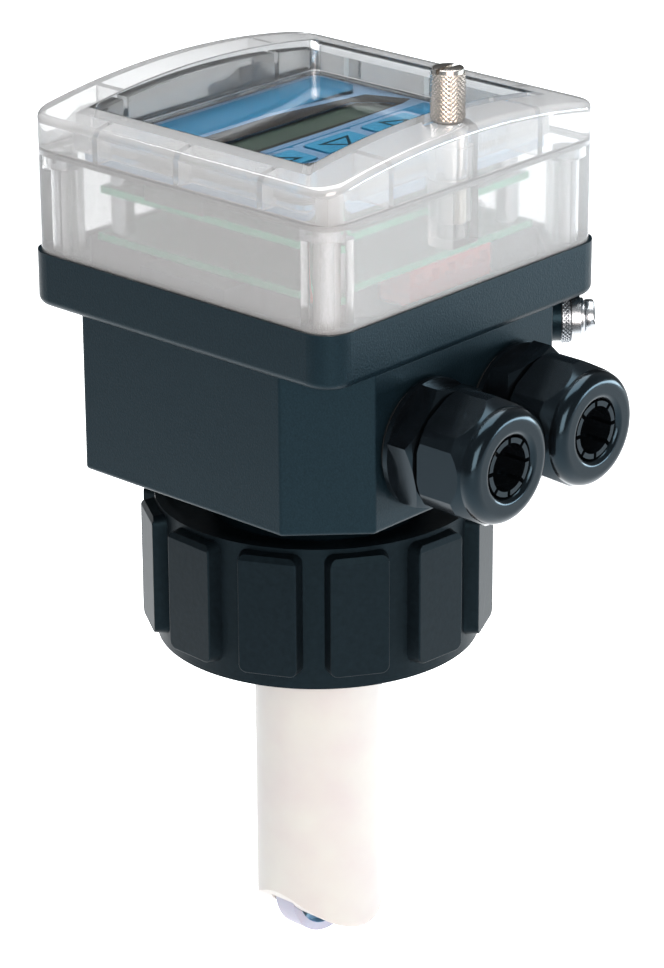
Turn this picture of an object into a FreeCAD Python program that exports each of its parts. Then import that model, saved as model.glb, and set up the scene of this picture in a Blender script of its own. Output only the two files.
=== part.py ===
# Insertion paddle wheel flow meter: a display housing on a union nut, with a sensor stem below it.
# Millimetres, +Z up. The origin lies on the stem's axis, on the sealing face under the stem's collar.
# -Y is the front, where the cable glands are, and the lid's hinge is at the back.
import FreeCAD
import Part
import Sketcher
import math
import os
import re
from FreeCAD import Placement, Rotation, Vector

doc = FreeCAD.newDocument("FlowMeter")
sheet = doc.addObject("Spreadsheet::Sheet", "Sizes")

driving_sizes = {
    # Lower housing
    "flange_overhang": 1.5,
    "flange_corner_radius": 6.5,
    "flange_height": 12.0,
    "flange_edge_radius": 1.8,
    "body_width": 85.0,
    "locknut_wall_gap": 0.21,
    "body_height": 35.3,
    "body_edge_radius": 1.0,
    "housing_wall": 3.0,
    "housing_floor": 4.0,
    "neck_radius": 24.0,
    "seal_to_body": 21.7,
    "groove_inset": 1.7,
    "groove_width": 2.0,
    "groove_depth": 1.6,
    "gasket_clearance": 0.05,
    # Sensor stem
    "stem_radius": 14.3,
    "collar_lip": 3.8,
    "collar_height": 6.0,
    "spigot_radius": 18.8,
    "spigot_clearance": 0.2,
    "spigot_proud": 3.6,
    "stem_bore_radius": 10.5,
    "stem_end_wall": 10.9,
    "clip_thickness": 1.5,
    "clip_groove_depth": 1.2,
    "clip_width": 3.4,
    "oring_section": 1.2,
    "oring_height": 13.0,
    "oring_slack": 0.02,
    "face_oring_radius": 22.0,
    "axle_drop": 83.9,
    "cheek_radius": 16.2,
    "cheek_axle_offset": 9.1,
    "slot_width": 6.8,
    "slot_headroom": 1.0,
    # Paddle wheel
    "wheel_radius": 12.0,
    "wheel_width": 4.6,
    "wheel_bead": 1.9,
    "wheel_bead_width": 5.6,
    "wheel_web": 1.0,
    "hub_radius": 3.4,
    "blade_thickness": 1.1,
    "blade_count": 8,
    "magnet_radius": 1.4,
    "magnet_length": 2.6,
    "magnet_circle": 7.2,
    "magnet_wall": 0.8,
    "magnet_count": 4,
    "press_clearance": 0.02,
    "axle_radius": 1.2,
    "axle_clearance": 0.05,
    "bearing_radius": 2.4,
    "bearing_length": 4.5,
    # Union nut
    "nut_height": 32.5,
    "nut_drop": 19.9,
    "nut_wall": 7.46,
    "nut_thread_clearance": 0.6,
    "nut_lip_clearance": 0.3,
    "nut_lip_thickness": 3.6,
    "nut_neck_clearance": 0.5,
    "nut_rim": 2.2,
    "nut_mouth_chamfer": 1.5,
    "grip_height": 2.54,
    "grip_width": 14.2,
    "grip_corner_radius": 2.4,
    "grip_margin_low": 3.2,
    "grip_margin_top": 0.8,
    "grip_draft": 10.0,
    "grip_bevel_height": 1.8,
    "grip_bevel_depth": 0.8,
    "grip_edge_radius": 0.35,
    "grip_count": 12,
    "grip_turn": 26.0,
    # Clear frame and lid
    "cover_inset": 0.6,
    "cover_corner_radius": 6.5,
    "frame_height": 22.6,
    "frame_wall": 3.0,
    "post_inset": 6.4,
    "post_radius": 4.3,
    "post_drop": 4.0,
    "post_screw_radius": 1.45,
    "post_screw_clearance": 0.3,
    "post_screw_depth": 8.0,
    "post_screw_head": 2.8,
    "post_screw_head_height": 2.2,
    "seal_inset": 0.9,
    "seal_width": 1.3,
    "seal_depth": 1.2,
    "lid_edge_height": 7.6,
    "lid_rise": 4.3,
    "lid_edge_radius": 1.6,
    "lid_wall": 2.4,
    "lid_sheet": 2.4,
    "window_side_margin": 8.4,
    "window_end_margin": 12.15,
    "window_offset": 0.75,
    "window_corner_radius": 3.0,
    "window_wall": 2.0,
    "window_lift": 1.0,
    "window_thickness": 1.6,
    "rib_thickness": 1.5,
    "rib_pitch": 23.5,
    # Hinge
    "hinge_offset": 3.1,
    "hinge_drop": 1.5,
    "knuckle_radius": 2.5,
    "knuckle_length": 8.0,
    "knuckle_side_length": 4.0,
    "knuckle_gap": 0.3,
    "knuckle_web": 5.4,
    "hinge_spread": 48.0,
    "hinge_pin_radius": 1.2,
    "hinge_pin_clearance": 0.05,
    # Lid screw
    "screw_setback": 6.4,
    "screw_head_radius": 3.75,
    "screw_head_height": 11.4,
    "screw_rim_height": 0.9,
    "screw_slot_width": 1.0,
    "screw_slot_depth": 1.4,
    "screw_root_radius": 1.62,
    "screw_hole_radius": 2.15,
    "screw_length": 18.5,
    "screw_boss_radius": 5.2,
    "screw_boss_depth": 14.0,
    "insert_radius": 3.2,
    "insert_length": 9.0,
    "insert_thread_radius": 2.07,
    "clip_ring_radius": 3.1,
    "clip_ring_thickness": 0.6,
    "clip_ring_lift": 0.4,
    "clip_ring_clearance": 0.08,
    "clip_ring_bite": 0.4,
    "clip_chamber_radius": 3.6,
    "clip_chamber_height": 7.0,
    # Display
    "panel_side_gap": 4.4,
    "panel_end_gap": 6.9,
    "panel_thickness": 1.8,
    "panel_recess": 0.2,
    "panel_corner_radius": 3.0,
    "panel_notch_gap": 0.4,
    "lcd_side_margin": 4.0,
    "lcd_length": 12.5,
    "lcd_centre": 7.25,
    "lcd_border": 2.2,
    "lcd_gap": 0.3,
    "key_width": 15.0,
    "key_length": 8.8,
    "key_spacing": 3.0,
    "key_centre": 7.0,
    "key_corner_radius": 1.5,
    "key_clearance": 0.35,
    "key_flange": 0.8,
    "key_proud": 0.3,
    "key_travel": 0.6,
    "key_play": 0.1,
    "switch_width": 6.0,
    "board_thickness": 1.6,
    "board_side_gap": 6.5,
    "display_board_gap": 10.4,
    "main_board_gap": 8.5,
    "display_board_level": 13.2,
    "main_board_lift": 2.6,
    "ledge_width": 8.0,
    "ledge_length": 24.0,
    "ledge_height": 10.0,
    "spacer_radius": 2.5,
    "spacer_side_inset": 3.5,
    "spacer_end_inset": 3.0,
    "terminal_offset": 6.3,
    "terminal_width": 26.0,
    "terminal_length": 8.5,
    "terminal_height": 8.0,
    "terminal_count": 5,
    "terminal_screw_radius": 1.7,
    "sensor_board_width": 16.0,
    "sensor_board_length": 80.0,
    "sensor_cable_radius": 1.6,
    # Cable glands
    "gland_spacing": 0.2,
    "locknut_floor_gap": 1.8,
    "gland_thread_radius": 9.9,
    "gland_thread_inside": 8.0,
    "gland_hole_clearance": 0.2,
    "gland_bore_radius": 6.3,
    "gland_ring_radius": 12.6,
    "gland_ring_thickness": 1.5,
    "gland_collar_radius": 14.0,
    "gland_collar_thickness": 1.2,
    "gland_hex_inset": 1.5,
    "gland_hex_length": 7.0,
    "gland_hex_chamfer": 0.3,
    "left_gland_turn": 15.0,
    "right_gland_turn": 40.0,
    "gland_neck_radius": 10.3,
    "gland_neck_length": 7.0,
    "gland_seat_radius": 8.9,
    "gland_seat_wall": 0.4,
    "gland_nut_gap": 1.3,
    "gland_nut_width": 25.6,
    "gland_nut_inset": 0.05,
    "gland_nut_hex_length": 11.4,
    "gland_nut_chamfer": 0.8,
    "gland_nut_front_chamfer": 2.4,
    "gland_dome_radius": 12.5,
    "gland_dome_length": 3.2,
    "gland_dome_round": 2.6,
    "gland_dome_wall": 6.8,
    "gland_mouth_radius": 6.7,
    "gland_mouth_round": 1.4,
    "gland_nut_clearance": 0.4,
    "gland_play": 0.3,
    "seal_bore_radius": 4.8,
    "seal_outer_clearance": 0.35,
    "claw_bore_radius": 5.2,
    "claw_wall": 1.1,
    "claw_base_thickness": 1.4,
    "claw_base_radius": 9.4,
    "claw_recess": 0.7,
    "claw_count": 8,
    "claw_slot": 0.9,
    "locknut_width": 22.6,
    "locknut_thickness": 5.0,
    "locknut_clearance": 0.1,
    # Earth terminal
    "earth_level": 29.2,
    "earth_boss_radius": 5.2,
    "earth_boss_proud": 2.4,
    "earth_boss_length": 7.5,
    "earth_screw_radius": 1.65,
    "earth_hole_depth": 4.8,
    "earth_nut_radius": 5.7,
    "earth_nut_thickness": 2.3,
    "earth_washer_radius": 5.7,
    "earth_washer_thickness": 1.9,
    "earth_spring_radius": 4.2,
    "earth_spring_thickness": 1.1,
    "earth_head_radius": 3.8,
    "earth_head_height": 2.3,
    "earth_slot_width": 1.0,
    "earth_slot_depth": 1.1,
    "earth_clearance": 0.15,
}

for row, (alias, number) in enumerate(driving_sizes.items(), start=1):
    sheet.set(f"A{row}", alias)
    sheet.set(f"B{row}", str(number))
    sheet.setAlias(f"B{row}", alias)
doc.recompute()

# Sizes that follow another size by a named gap
tied_sizes = {
    "flange_width": "body_width + 2 * flange_overhang",
    "cover_width": "flange_width - 2 * cover_inset",
    "body_corner_cut": "(body_width - gland_pitch) / 2 - locknut_width / sqrt(3) - 0.4142 * housing_wall"
                       " - locknut_wall_gap",
    "collar_radius": "neck_radius + collar_lip",
    "stem_bore_depth": "axle_drop - wheel_radius - slot_headroom - stem_end_wall",
    "cheek_centre_drop": "axle_drop - cheek_axle_offset",
    "nut_thread_radius": "collar_radius + nut_thread_clearance",
    "nut_radius": "nut_thread_radius + nut_wall",
    "grip_radius": "nut_radius + grip_height",
    "post_pitch": "cover_width - 2 * post_inset",
    "window_width": "cover_width - 2 * window_side_margin",
    "window_length": "cover_width - 2 * window_end_margin",
    "panel_width": "cover_width - 2 * frame_wall - 2 * panel_side_gap",
    "panel_length": "cover_width - 2 * frame_wall - 2 * panel_end_gap",
    "lcd_width": "panel_width - 2 * lcd_side_margin",
    "key_pitch": "key_width + key_spacing",
    "board_width": "body_width - 2 * housing_wall - 2 * board_side_gap",
    "display_board_length": "cover_width - 2 * frame_wall - 2 * display_board_gap",
    "main_board_length": "body_width - 2 * housing_wall - 2 * main_board_gap",
    "spacer_pitch_x": "board_width - 2 * spacer_side_inset",
    "spacer_pitch_y": "display_board_length - 2 * spacer_end_inset",
    "gland_pitch": "2 * gland_collar_radius + gland_spacing",
    "gland_level": "housing_floor + locknut_width / 2 + locknut_floor_gap",
    "gland_hex_width": "2 * gland_collar_radius - 2 * gland_hex_inset",
    "gland_nut_corner_radius": "gland_collar_radius - gland_nut_inset",
    "earth_boss_end": "(body_width - body_corner_cut) * sqrt(0.5) + earth_boss_proud",
}

# Levels and places that several pieces share, as formulas of the driving sizes
flange_base = "(seal_to_body + body_height)"
flange_top = f"({flange_base} + flange_height)"
floor_top = "(seal_to_body + housing_floor)"
lid_seat = f"({flange_top} + frame_height)"
lid_crest = f"({lid_seat} + lid_edge_height + lid_rise)"
spigot_top = f"({floor_top} + spigot_proud)"
nut_base = "(-nut_drop)"
nut_top = "(nut_height - nut_drop)"
lip_base = "(collar_height + nut_lip_clearance)"
lip_top = f"({lip_base} + nut_lip_thickness)"
inner_width = "(body_width - 2 * housing_wall)"
inner_cut = "(body_corner_cut - 0.5858 * housing_wall)"
screw_y = "(screw_setback - cover_width / 2)"
hinge_y = "(cover_width / 2 + hinge_offset)"
hinge_z = f"({lid_seat} - hinge_drop)"
panel_top = f"({lid_seat} - panel_recess)"
panel_base = f"({panel_top} - panel_thickness)"
key_flange_top = f"({panel_base} - lcd_gap)"
key_flange_base = f"({key_flange_top} - key_flange)"
display_board_base = f"({flange_top} + display_board_level)"
display_board_top = f"({display_board_base} + board_thickness)"
main_board_base = f"({flange_top} + main_board_lift)"
main_board_top = f"({main_board_base} + board_thickness)"
gland_face = "(-body_width / 2)"
gland_z = "(seal_to_body + gland_level)"
earth_z = "(seal_to_body + earth_level)"
arch_radius = "((lid_rise * lid_rise + cover_width * cover_width / 4) / (2 * lid_rise))"
wheel_z = "(-axle_drop)"


def formula(text):
    def named(word):
        if word[0] in tied_sizes:
            return f"({formula(tied_sizes[word[0]])})"
        return f"Sizes.{word[0]}" if word[0] in driving_sizes else word[0]

    return re.sub(r"[a-z_]+", named, text)


def size(name):
    return float(sheet.evalExpression(formula(name)))


def bind(item, **formulas):
    for name, text in formulas.items():
        item.setExpression(name, formula(text))


def place(item, x="0", y="0", z="0", turn=None):
    if turn:
        item.Placement = Placement(Vector(), turn)
    for axis, text in zip("xyz", (x, y, z)):
        item.setExpression(f"Placement.Base.{axis}", formula(text))
    return item


# Turns that lay a piece built along +Z along another direction
toward_front = Rotation(Vector(1, 0, 0), 90)
toward_right = Rotation(Vector(0, 1, 0), 90)
toward_corner = Rotation(Vector(0, 0, 1), -45) * toward_right


# Part primitives and booleans
def block(name, width, length, height, x="0", y="0", z="0"):
    item = doc.addObject("Part::Box", name)
    bind(item, Length=width, Width=length, Height=height)
    return place(item, f"{x} - ({width}) / 2", f"{y} - ({length}) / 2", z)


def rod(name, radius, length, x="0", y="0", z="0", turn=None):
    item = doc.addObject("Part::Cylinder", name)
    bind(item, Radius=radius, Height=length)
    return place(item, x, y, z, turn)


def fuse(name, *pieces):
    item = doc.addObject("Part::MultiFuse", name)
    item.Shapes = list(pieces)
    return item


def cut(name, base, *tools):
    item = doc.addObject("Part::Cut", name)
    item.Base = base
    item.Tool = tools[0] if len(tools) == 1 else fuse(f"{name}_cuts", *tools)
    return item


def common(name, first, second):
    item = doc.addObject("Part::Common", name)
    item.Base = first
    item.Tool = second
    return item


def rounded(name, base, radius, chosen):
    doc.recompute()
    item = doc.addObject("Part::Fillet", name)
    item.Base = base
    item.Edges = [(index, radius, radius) for index, edge in enumerate(base.Shape.Edges, 1) if chosen(edge)]
    return item


def upright(edge):
    if len(edge.Vertexes) != 2:
        return False
    along = edge.Vertexes[0].Point - edge.Vertexes[1].Point
    return along.cross(Vector(0, 0, 1)).Length < 1e-6


def rounded_block(name, radius, *measures):
    return rounded(name, block(f"{name}_blank", *measures), size(radius), upright)


def group(name, pieces):
    item = doc.addObject("Part::Compound", name)
    item.Links = list(pieces)
    return item


# PartDesign bodies
def new_body(name):
    return doc.addObject("PartDesign::Body", name)


def sketch_on(body, name, plane="XY_Plane", lift="0"):
    sketch = body.newObject("Sketcher::SketchObject", f"{body.Name}_{name}")
    origin_plane = next(item for item in body.Origin.OriginFeatures if item.Role == plane)
    sketch.AttachmentSupport = [(origin_plane, "")]
    sketch.MapMode = "FlatFace"
    sketch.setExpression("AttachmentOffset.Base.z", formula(lift))
    return sketch


# A sketch that faces the front right corner, at a distance from the stem's axis
def corner_sketch(body, name, distance):
    sketch = sketch_on(body, name, "YZ_Plane", f"({distance}) * sqrt(0.5)")
    sketch.AttachmentOffset = Placement(Vector(), Rotation(Vector(0, 1, 0), -45))
    sketch.setExpression("AttachmentOffset.Base.x", formula(f"-({distance}) * sqrt(0.5)"))
    return sketch


def hold_point(sketch, edge, end, across, along):
    for kind, axis, text in (("DistanceX", -2, across), ("DistanceY", -1, along)):
        if text == "0":
            sketch.addConstraint(Sketcher.Constraint("PointOnObject", edge, end, axis))
        else:
            index = sketch.addConstraint(Sketcher.Constraint(kind, -1, 1, edge, end, 1.0))
            sketch.setExpression(f"Constraints[{index}]", formula(text))


def hold_radius(sketch, edge, radius):
    index = sketch.addConstraint(Sketcher.Constraint("Radius", edge, 1.0))
    sketch.setExpression(f"Constraints[{index}]", formula(radius))


def draw_polygon(sketch, corners):
    first = sketch.GeometryCount
    count = len(corners)
    step = 2 * math.pi / count
    spots = [Vector(math.cos(step * k), math.sin(step * k), 0) for k in range(count)]
    for k in range(count):
        sketch.addGeometry(Part.LineSegment(spots[k], spots[(k + 1) % count]))
    for k in range(count):
        sketch.addConstraint(Sketcher.Constraint("Coincident", first + k, 2, first + (k + 1) % count, 1))
    for k, (across, along) in enumerate(corners):
        hold_point(sketch, first + k, 1, across, along)


def draw_circle(sketch, radius, across="0", along="0"):
    edge = sketch.addGeometry(Part.Circle(Vector(), Vector(0, 0, 1), 1))
    hold_point(sketch, edge, 3, across, along)
    hold_radius(sketch, edge, radius)


def draw_rectangle(sketch, width, length, across="0", along="0"):
    sides = [f"{across} - ({width}) / 2", f"{across} + ({width}) / 2"]
    ends = [f"{along} - ({length}) / 2", f"{along} + ({length}) / 2"]
    draw_polygon(sketch, [(sides[0], ends[0]), (sides[1], ends[0]), (sides[1], ends[1]), (sides[0],
                                                                                          ends[1])])


def draw_rounded_rectangle(sketch, width, length, radius, across="0", along="0"):
    first = sketch.GeometryCount
    signs = [(1, 1), (-1, 1), (-1, -1), (1, -1)]
    for k, (right, up) in enumerate(signs):
        arc = Part.Circle(Vector(2 * right, 2 * up, 0), Vector(0, 0, 1), 1)
        sketch.addGeometry(Part.ArcOfCircle(arc, k * math.pi / 2, (k + 1) * math.pi / 2))
    for k in range(4):
        start = sketch.Geometry[first + k].EndPoint
        end = sketch.Geometry[first + (k + 1) % 4].StartPoint
        sketch.addGeometry(Part.LineSegment(start, end))
    for k in range(4):
        sketch.addConstraint(Sketcher.Constraint("Tangent", first + k, 2, first + 4 + k, 1))
        sketch.addConstraint(Sketcher.Constraint("Tangent", first + 4 + k, 2, first + (k + 1) % 4, 1))
    for k, (right, up) in enumerate(signs):
        hold_radius(sketch, first + k, radius)
        corner_x = f"{across} + {right} * (({width}) / 2 - ({radius}))"
        corner_y = f"{along} + {up} * (({length}) / 2 - ({radius}))"
        hold_point(sketch, first + k, 3, corner_x, corner_y)


def draw_octagon(sketch, width, corner_cut):
    edge = f"({width}) / 2"
    short = f"({edge} - ({corner_cut}))"
    draw_polygon(sketch, [
        (short, f"-({edge})"), (edge, f"-{short}"), (edge, short), (short, edge),
        (f"-{short}", edge), (f"-({edge})", short), (f"-({edge})", f"-{short}"), (f"-{short}",
                                                                                  f"-({edge})"),
    ])


def draw_hexagon(sketch, width):
    side = f"(({width}) / 2)"
    high = f"(({width}) / sqrt(3))"
    draw_polygon(sketch, [(side, f"{high} / 2"), ("0", high), (f"-{side}", f"{high} / 2"),
                          (f"-{side}", f"-{high} / 2"), ("0", f"-{high}"), (side, f"-{high} / 2")])


def feature(kind, body, name, sketch, length, both_ways=False, reverse=False):
    item = body.newObject(f"PartDesign::{kind}", f"{body.Name}_{name}")
    item.Profile = sketch
    item.setExpression("Length", formula(length))
    item.Midplane = both_ways
    item.Reversed = reverse
    return item


def pad(body, name, sketch, length, both_ways=False, reverse=False):
    return feature("Pad", body, name, sketch, length, both_ways, reverse)


def pocket(body, name, sketch, length, both_ways=False, reverse=False):
    doc.recompute()
    before = body.Shape.Volume
    item = feature("Pocket", body, name, sketch, length, both_ways, reverse)
    doc.recompute()
    if item.Shape.Volume > before - 1e-6:
        raise RuntimeError(f"{item.Name} cuts nothing")
    return item


def turned(body, name, corners, kind="Revolution"):
    sketch = sketch_on(body, f"{name}_profile", "XZ_Plane")
    draw_polygon(sketch, corners)
    item = body.newObject(f"PartDesign::{kind}", f"{body.Name}_{name}")
    item.Profile = sketch
    item.ReferenceAxis = (sketch, ["V_Axis"])
    item.Angle = 360
    return item


def repeat_round(body, name, original, count):
    item = body.newObject("PartDesign::PolarPattern", f"{body.Name}_{name}")
    item.Originals = [original]
    item.Axis = (original.Profile[0], ["N_Axis"])
    item.Angle = 360
    item.setExpression("Occurrences", formula(count))
    body.Tip = item
    return item


def round_edges(body, name, radius, chosen):
    doc.recompute()
    base = body.Tip
    names = [f"Edge{index}" for index, edge in enumerate(base.Shape.Edges, 1) if chosen(edge)]
    item = body.newObject("PartDesign::Fillet", f"{body.Name}_{name}")
    item.Base = (base, names)
    item.setExpression("Radius", formula(radius))
    return item


def level_edge(z):
    return lambda edge: abs(edge.BoundBox.ZMin - z) < 1e-4 and abs(edge.BoundBox.ZMax - z) < 1e-4


def circle_edge(radius, z):
    level = level_edge(z)
    return lambda edge: level(edge) and abs(edge.BoundBox.XLength / 2 - radius) < 1e-3


def four_corners(pitch_x, pitch_y):
    return [(f"{x} * ({pitch_x}) / 2", f"{y} * ({pitch_y}) / 2") for x in (-1, 1) for y in (-1, 1)]


post_places = four_corners("post_pitch", "post_pitch")
spacer_places = four_corners("spacer_pitch_x", "spacer_pitch_y")


# Lower housing: an eight-sided body under a square flange, with a round neck and openings for what it carries
def make_lower_housing():
    body = new_body("lower_housing")
    outline = sketch_on(body, "outline", lift="seal_to_body")
    draw_octagon(outline, "body_width", "body_corner_cut")
    pad(body, "walls", outline, "body_height")
    base = size("seal_to_body")
    round_edges(body, "body_edges", "body_edge_radius", lambda edge: edge.BoundBox.ZMin < base + 1)
    flange = sketch_on(body, "flange_outline", lift=flange_base)
    draw_rounded_rectangle(flange, "flange_width", "flange_width", "flange_corner_radius")
    pad(body, "flange", flange, "flange_height")
    base_level = size("seal_to_body") + size("body_height")
    reach = size("flange_width") / 2 - size("flange_corner_radius") - 0.1
    side = size("body_width") / 2 + 0.01

    def lower_flange_edge(edge):
        spread = sorted((abs(edge.CenterOfMass.x), abs(edge.CenterOfMass.y)))
        return level_edge(base_level)(edge) and (spread[1] > side or spread[0] > reach)

    round_edges(body, "flange_edge", "flange_edge_radius", lower_flange_edge)
    neck = sketch_on(body, "neck_outline", lift="collar_height")
    draw_circle(neck, "neck_radius")
    pad(body, "neck", neck, "seal_to_body - collar_height")
    boss = corner_sketch(body, "earth_boss_outline", "earth_boss_end")
    draw_circle(boss, "earth_boss_radius", "0", earth_z)
    pad(body, "earth_boss", boss, "earth_boss_length", reverse=True)
    cavity = sketch_on(body, "cavity_outline", lift=flange_top)
    draw_octagon(cavity, inner_width, inner_cut)
    pocket(body, "cavity", cavity, f"{flange_top} - {floor_top}")
    ledges = sketch_on(body, "ledge_outline", lift=f"{main_board_base} - ledge_height")
    for side in (-1, 1):
        draw_rectangle(ledges, "ledge_width", "ledge_length", f"{side} * ({inner_width} / 2 - ledge_width / 2)")
    pad(body, "board_ledges", ledges, "ledge_height")
    stem_hole = sketch_on(body, "stem_hole_outline", lift=floor_top)
    draw_circle(stem_hole, "spigot_radius + spigot_clearance")
    pocket(body, "stem_hole", stem_hole, f"{floor_top} - collar_height")
    gland_holes = sketch_on(body, "gland_hole_outline", "XZ_Plane", "body_width / 2")
    for side in (-1, 1):
        draw_circle(gland_holes, "gland_thread_radius + gland_hole_clearance", f"{side} * gland_pitch / 2",
                    gland_z)
    pocket(body, "gland_holes", gland_holes, "housing_wall + 1")
    screw_holes = sketch_on(body, "screw_hole_outline", lift=flange_top)
    for x, y in post_places:
        draw_circle(screw_holes, "post_screw_radius", x, y)
    pocket(body, "screw_holes", screw_holes, "post_screw_depth")
    groove = sketch_on(body, "groove_outline", lift=flange_top)
    draw_rounded_rectangle(groove, "flange_width - 2 * groove_inset", "flange_width - 2 * groove_inset",
                           "flange_corner_radius - groove_inset")
    draw_rounded_rectangle(groove, "flange_width - 2 * groove_inset - 2 * groove_width",
                           "flange_width - 2 * groove_inset - 2 * groove_width",
                           "flange_corner_radius - groove_inset - groove_width")
    pocket(body, "groove", groove, "groove_depth")
    earth_hole = corner_sketch(body, "earth_hole_outline", "earth_boss_end")
    draw_circle(earth_hole, "earth_screw_radius + press_clearance", "0", earth_z)
    pocket(body, "earth_hole", earth_hole, "earth_hole_depth")
    return body


# A flat ring seal that fills a rounded square groove
def make_seal_ring(name, width, radius, section, base, height):
    body = new_body(name)
    outline = sketch_on(body, "outline", lift=base)
    draw_rounded_rectangle(outline, f"{width} - 2 * gasket_clearance", f"{width} - 2 * gasket_clearance",
                           f"{radius} - gasket_clearance")
    draw_rounded_rectangle(outline, f"{width} - 2 * ({section}) + 2 * gasket_clearance",
                           f"{width} - 2 * ({section}) + 2 * gasket_clearance",
                           f"{radius} - ({section}) + gasket_clearance")
    pad(body, "ring", outline, height)
    return body


# Clear frame: a square ring with corner posts, a boss for the lid screw and the hinge's outer knuckles
def make_clear_frame():
    body = new_body("clear_frame")
    outline = sketch_on(body, "outline", lift=flange_top)
    draw_rounded_rectangle(outline, "cover_width", "cover_width", "cover_corner_radius")
    draw_rounded_rectangle(outline, "cover_width - 2 * frame_wall", "cover_width - 2 * frame_wall",
                           "cover_corner_radius - frame_wall")
    pad(body, "wall", outline, "frame_height")
    posts = sketch_on(body, "post_outline", lift=flange_top)
    for x, y in post_places:
        draw_circle(posts, "post_radius", x, y)
    pad(body, "posts", posts, "frame_height - post_drop")
    boss = sketch_on(body, "boss_outline", lift=f"{lid_seat} - screw_boss_depth")
    draw_circle(boss, "screw_boss_radius", "0", screw_y)
    pad(body, "screw_boss", boss, "screw_boss_depth")
    side_knuckle = "(knuckle_length + knuckle_side_length + 2 * knuckle_gap) / 2"
    for side, tag in ((-1, "left"), (1, "right")):
        for edge, part in ((-1, "low"), (1, "high")):
            middle = f"({side} * hinge_spread / 2 + {edge} * {side_knuckle})"
            knuckle = sketch_on(body, f"{tag}_{part}_knuckle_outline", "YZ_Plane", middle)
            draw_circle(knuckle, "knuckle_radius", hinge_y, hinge_z)
            pad(body, f"{tag}_{part}_knuckle", knuckle, "knuckle_side_length", both_ways=True)
            web = sketch_on(body, f"{tag}_{part}_web_outline", "YZ_Plane", middle)
            draw_polygon(web, [("cover_width / 2 - frame_wall / 2", f"{hinge_z} - knuckle_web"),
                               ("cover_width / 2", f"{hinge_z} - knuckle_web"),
                               (f"{hinge_y} + knuckle_radius / 2", f"{hinge_z} - 0.866 * knuckle_radius"),
                               (hinge_y, hinge_z), ("cover_width / 2 - frame_wall / 2", hinge_z)])
            pad(body, f"{tag}_{part}_web", web, "knuckle_side_length", both_ways=True)
    pin_hole = sketch_on(body, "pin_hole_outline", "YZ_Plane")
    draw_circle(pin_hole, "hinge_pin_radius + press_clearance", hinge_y, hinge_z)
    pocket(body, "pin_hole", pin_hole, "cover_width", both_ways=True)
    post_holes = sketch_on(body, "post_hole_outline", lift=lid_seat)
    for x, y in post_places:
        draw_circle(post_holes, "post_screw_radius + post_screw_clearance", x, y)
    pocket(body, "post_holes", post_holes, "frame_height")
    insert_hole = sketch_on(body, "insert_hole_outline", lift=lid_seat)
    draw_circle(insert_hole, "insert_radius", "0", screw_y)
    pocket(body, "insert_hole", insert_hole, "insert_length")
    shank_hole = sketch_on(body, "shank_hole_outline", lift=f"{lid_seat} - insert_length")
    draw_circle(shank_hole, "insert_thread_radius", "0", screw_y)
    pocket(body, "shank_hole", shank_hole, "screw_boss_depth - insert_length - frame_wall / 2")
    groove = sketch_on(body, "groove_outline", lift=lid_seat)
    for inset in ("seal_inset", "(seal_inset + seal_width)"):
        draw_rounded_rectangle(groove, f"cover_width - 2 * {inset}", f"cover_width - 2 * {inset}",
                               f"cover_corner_radius - {inset}")
    pocket(body, "groove", groove, "seal_depth")
    return body


# Lid: an arched rim round a sunk window, hollow from below and stiffened by ribs
def make_lid():
    outer_blank = rounded_block("lid_outer", "cover_corner_radius", "cover_width", "cover_width",
                                "lid_edge_height + lid_rise", "0", "0", lid_seat)
    outer_arch = rod("lid_arch", arch_radius, "cover_width + 2", "0", "cover_width / 2 + 1",
                     f"{lid_crest} - {arch_radius}", toward_front)
    outer = common("lid_form", outer_blank, outer_arch)
    seat = size("seal_to_body") + size("body_height") + size("flange_height") + size("frame_height")
    soft = rounded("lid_soft_edges", outer, size("lid_edge_radius"),
                   lambda edge: edge.BoundBox.ZMin > seat + 1 and not upright(edge))
    core_blank = block("lid_core", "cover_width - 2 * lid_wall", "cover_width - 2 * lid_wall",
                       "lid_edge_height + lid_rise", "0", "0", lid_seat)
    core_arch = rod("lid_core_arch", f"{arch_radius} - lid_sheet", "cover_width + 2", "0",
                    "cover_width / 2 + 1",
                    f"{lid_crest} - {arch_radius}", toward_front)
    core = common("lid_hollow", core_blank, core_arch)
    kept = [block("lid_window_ring", "window_width + 2 * window_wall", "window_length + 2 * window_wall",
                  "lid_edge_height + lid_rise", "0", "window_offset", lid_seat),
            rod("lid_screw_boss", "screw_boss_radius", "lid_edge_height + lid_rise", "0", screw_y,
                lid_seat)]
    for step in (-1, 0, 1):
        kept.append(block(f"lid_side_rib_{step + 2}", "cover_width", "rib_thickness",
                          "lid_edge_height + lid_rise",
                          "0", f"{step} * rib_pitch", lid_seat))
    for step in (-1, 1):
        kept.append(block(f"lid_end_rib_{step + 2}", "rib_thickness", "cover_width",
                          "lid_edge_height + lid_rise",
                          f"{step} * rib_pitch", "0", lid_seat))
    channel = cut("lid_channel", core, *kept)
    recess = rounded_block("lid_recess", "window_corner_radius", "window_width", "window_length",
                           "lid_edge_height + lid_rise", "0", "window_offset",
                           f"{lid_seat} + window_lift + window_thickness")
    under = rounded_block("lid_under", "window_corner_radius", "window_width", "window_length",
                          "window_lift",
                          "0", "window_offset", lid_seat)
    hole = rod("lid_screw_hole", "screw_hole_radius", "lid_edge_height + lid_rise + 1", "0", screw_y,
               lid_seat)
    chamber = rod("lid_clip_chamber", "clip_chamber_radius", "clip_chamber_height", "0", screw_y, lid_seat)
    shell = cut("lid_shell", soft, channel, recess, under, hole, chamber)
    return cut("lid", fuse("lid_with_knuckles", shell, make_lid_knuckles()), pin_bore())


def pin_bore():
    return rod("lid_pin_bore", "hinge_pin_radius + hinge_pin_clearance", "cover_width", "-cover_width / 2",
               hinge_y, hinge_z, toward_right)


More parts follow.
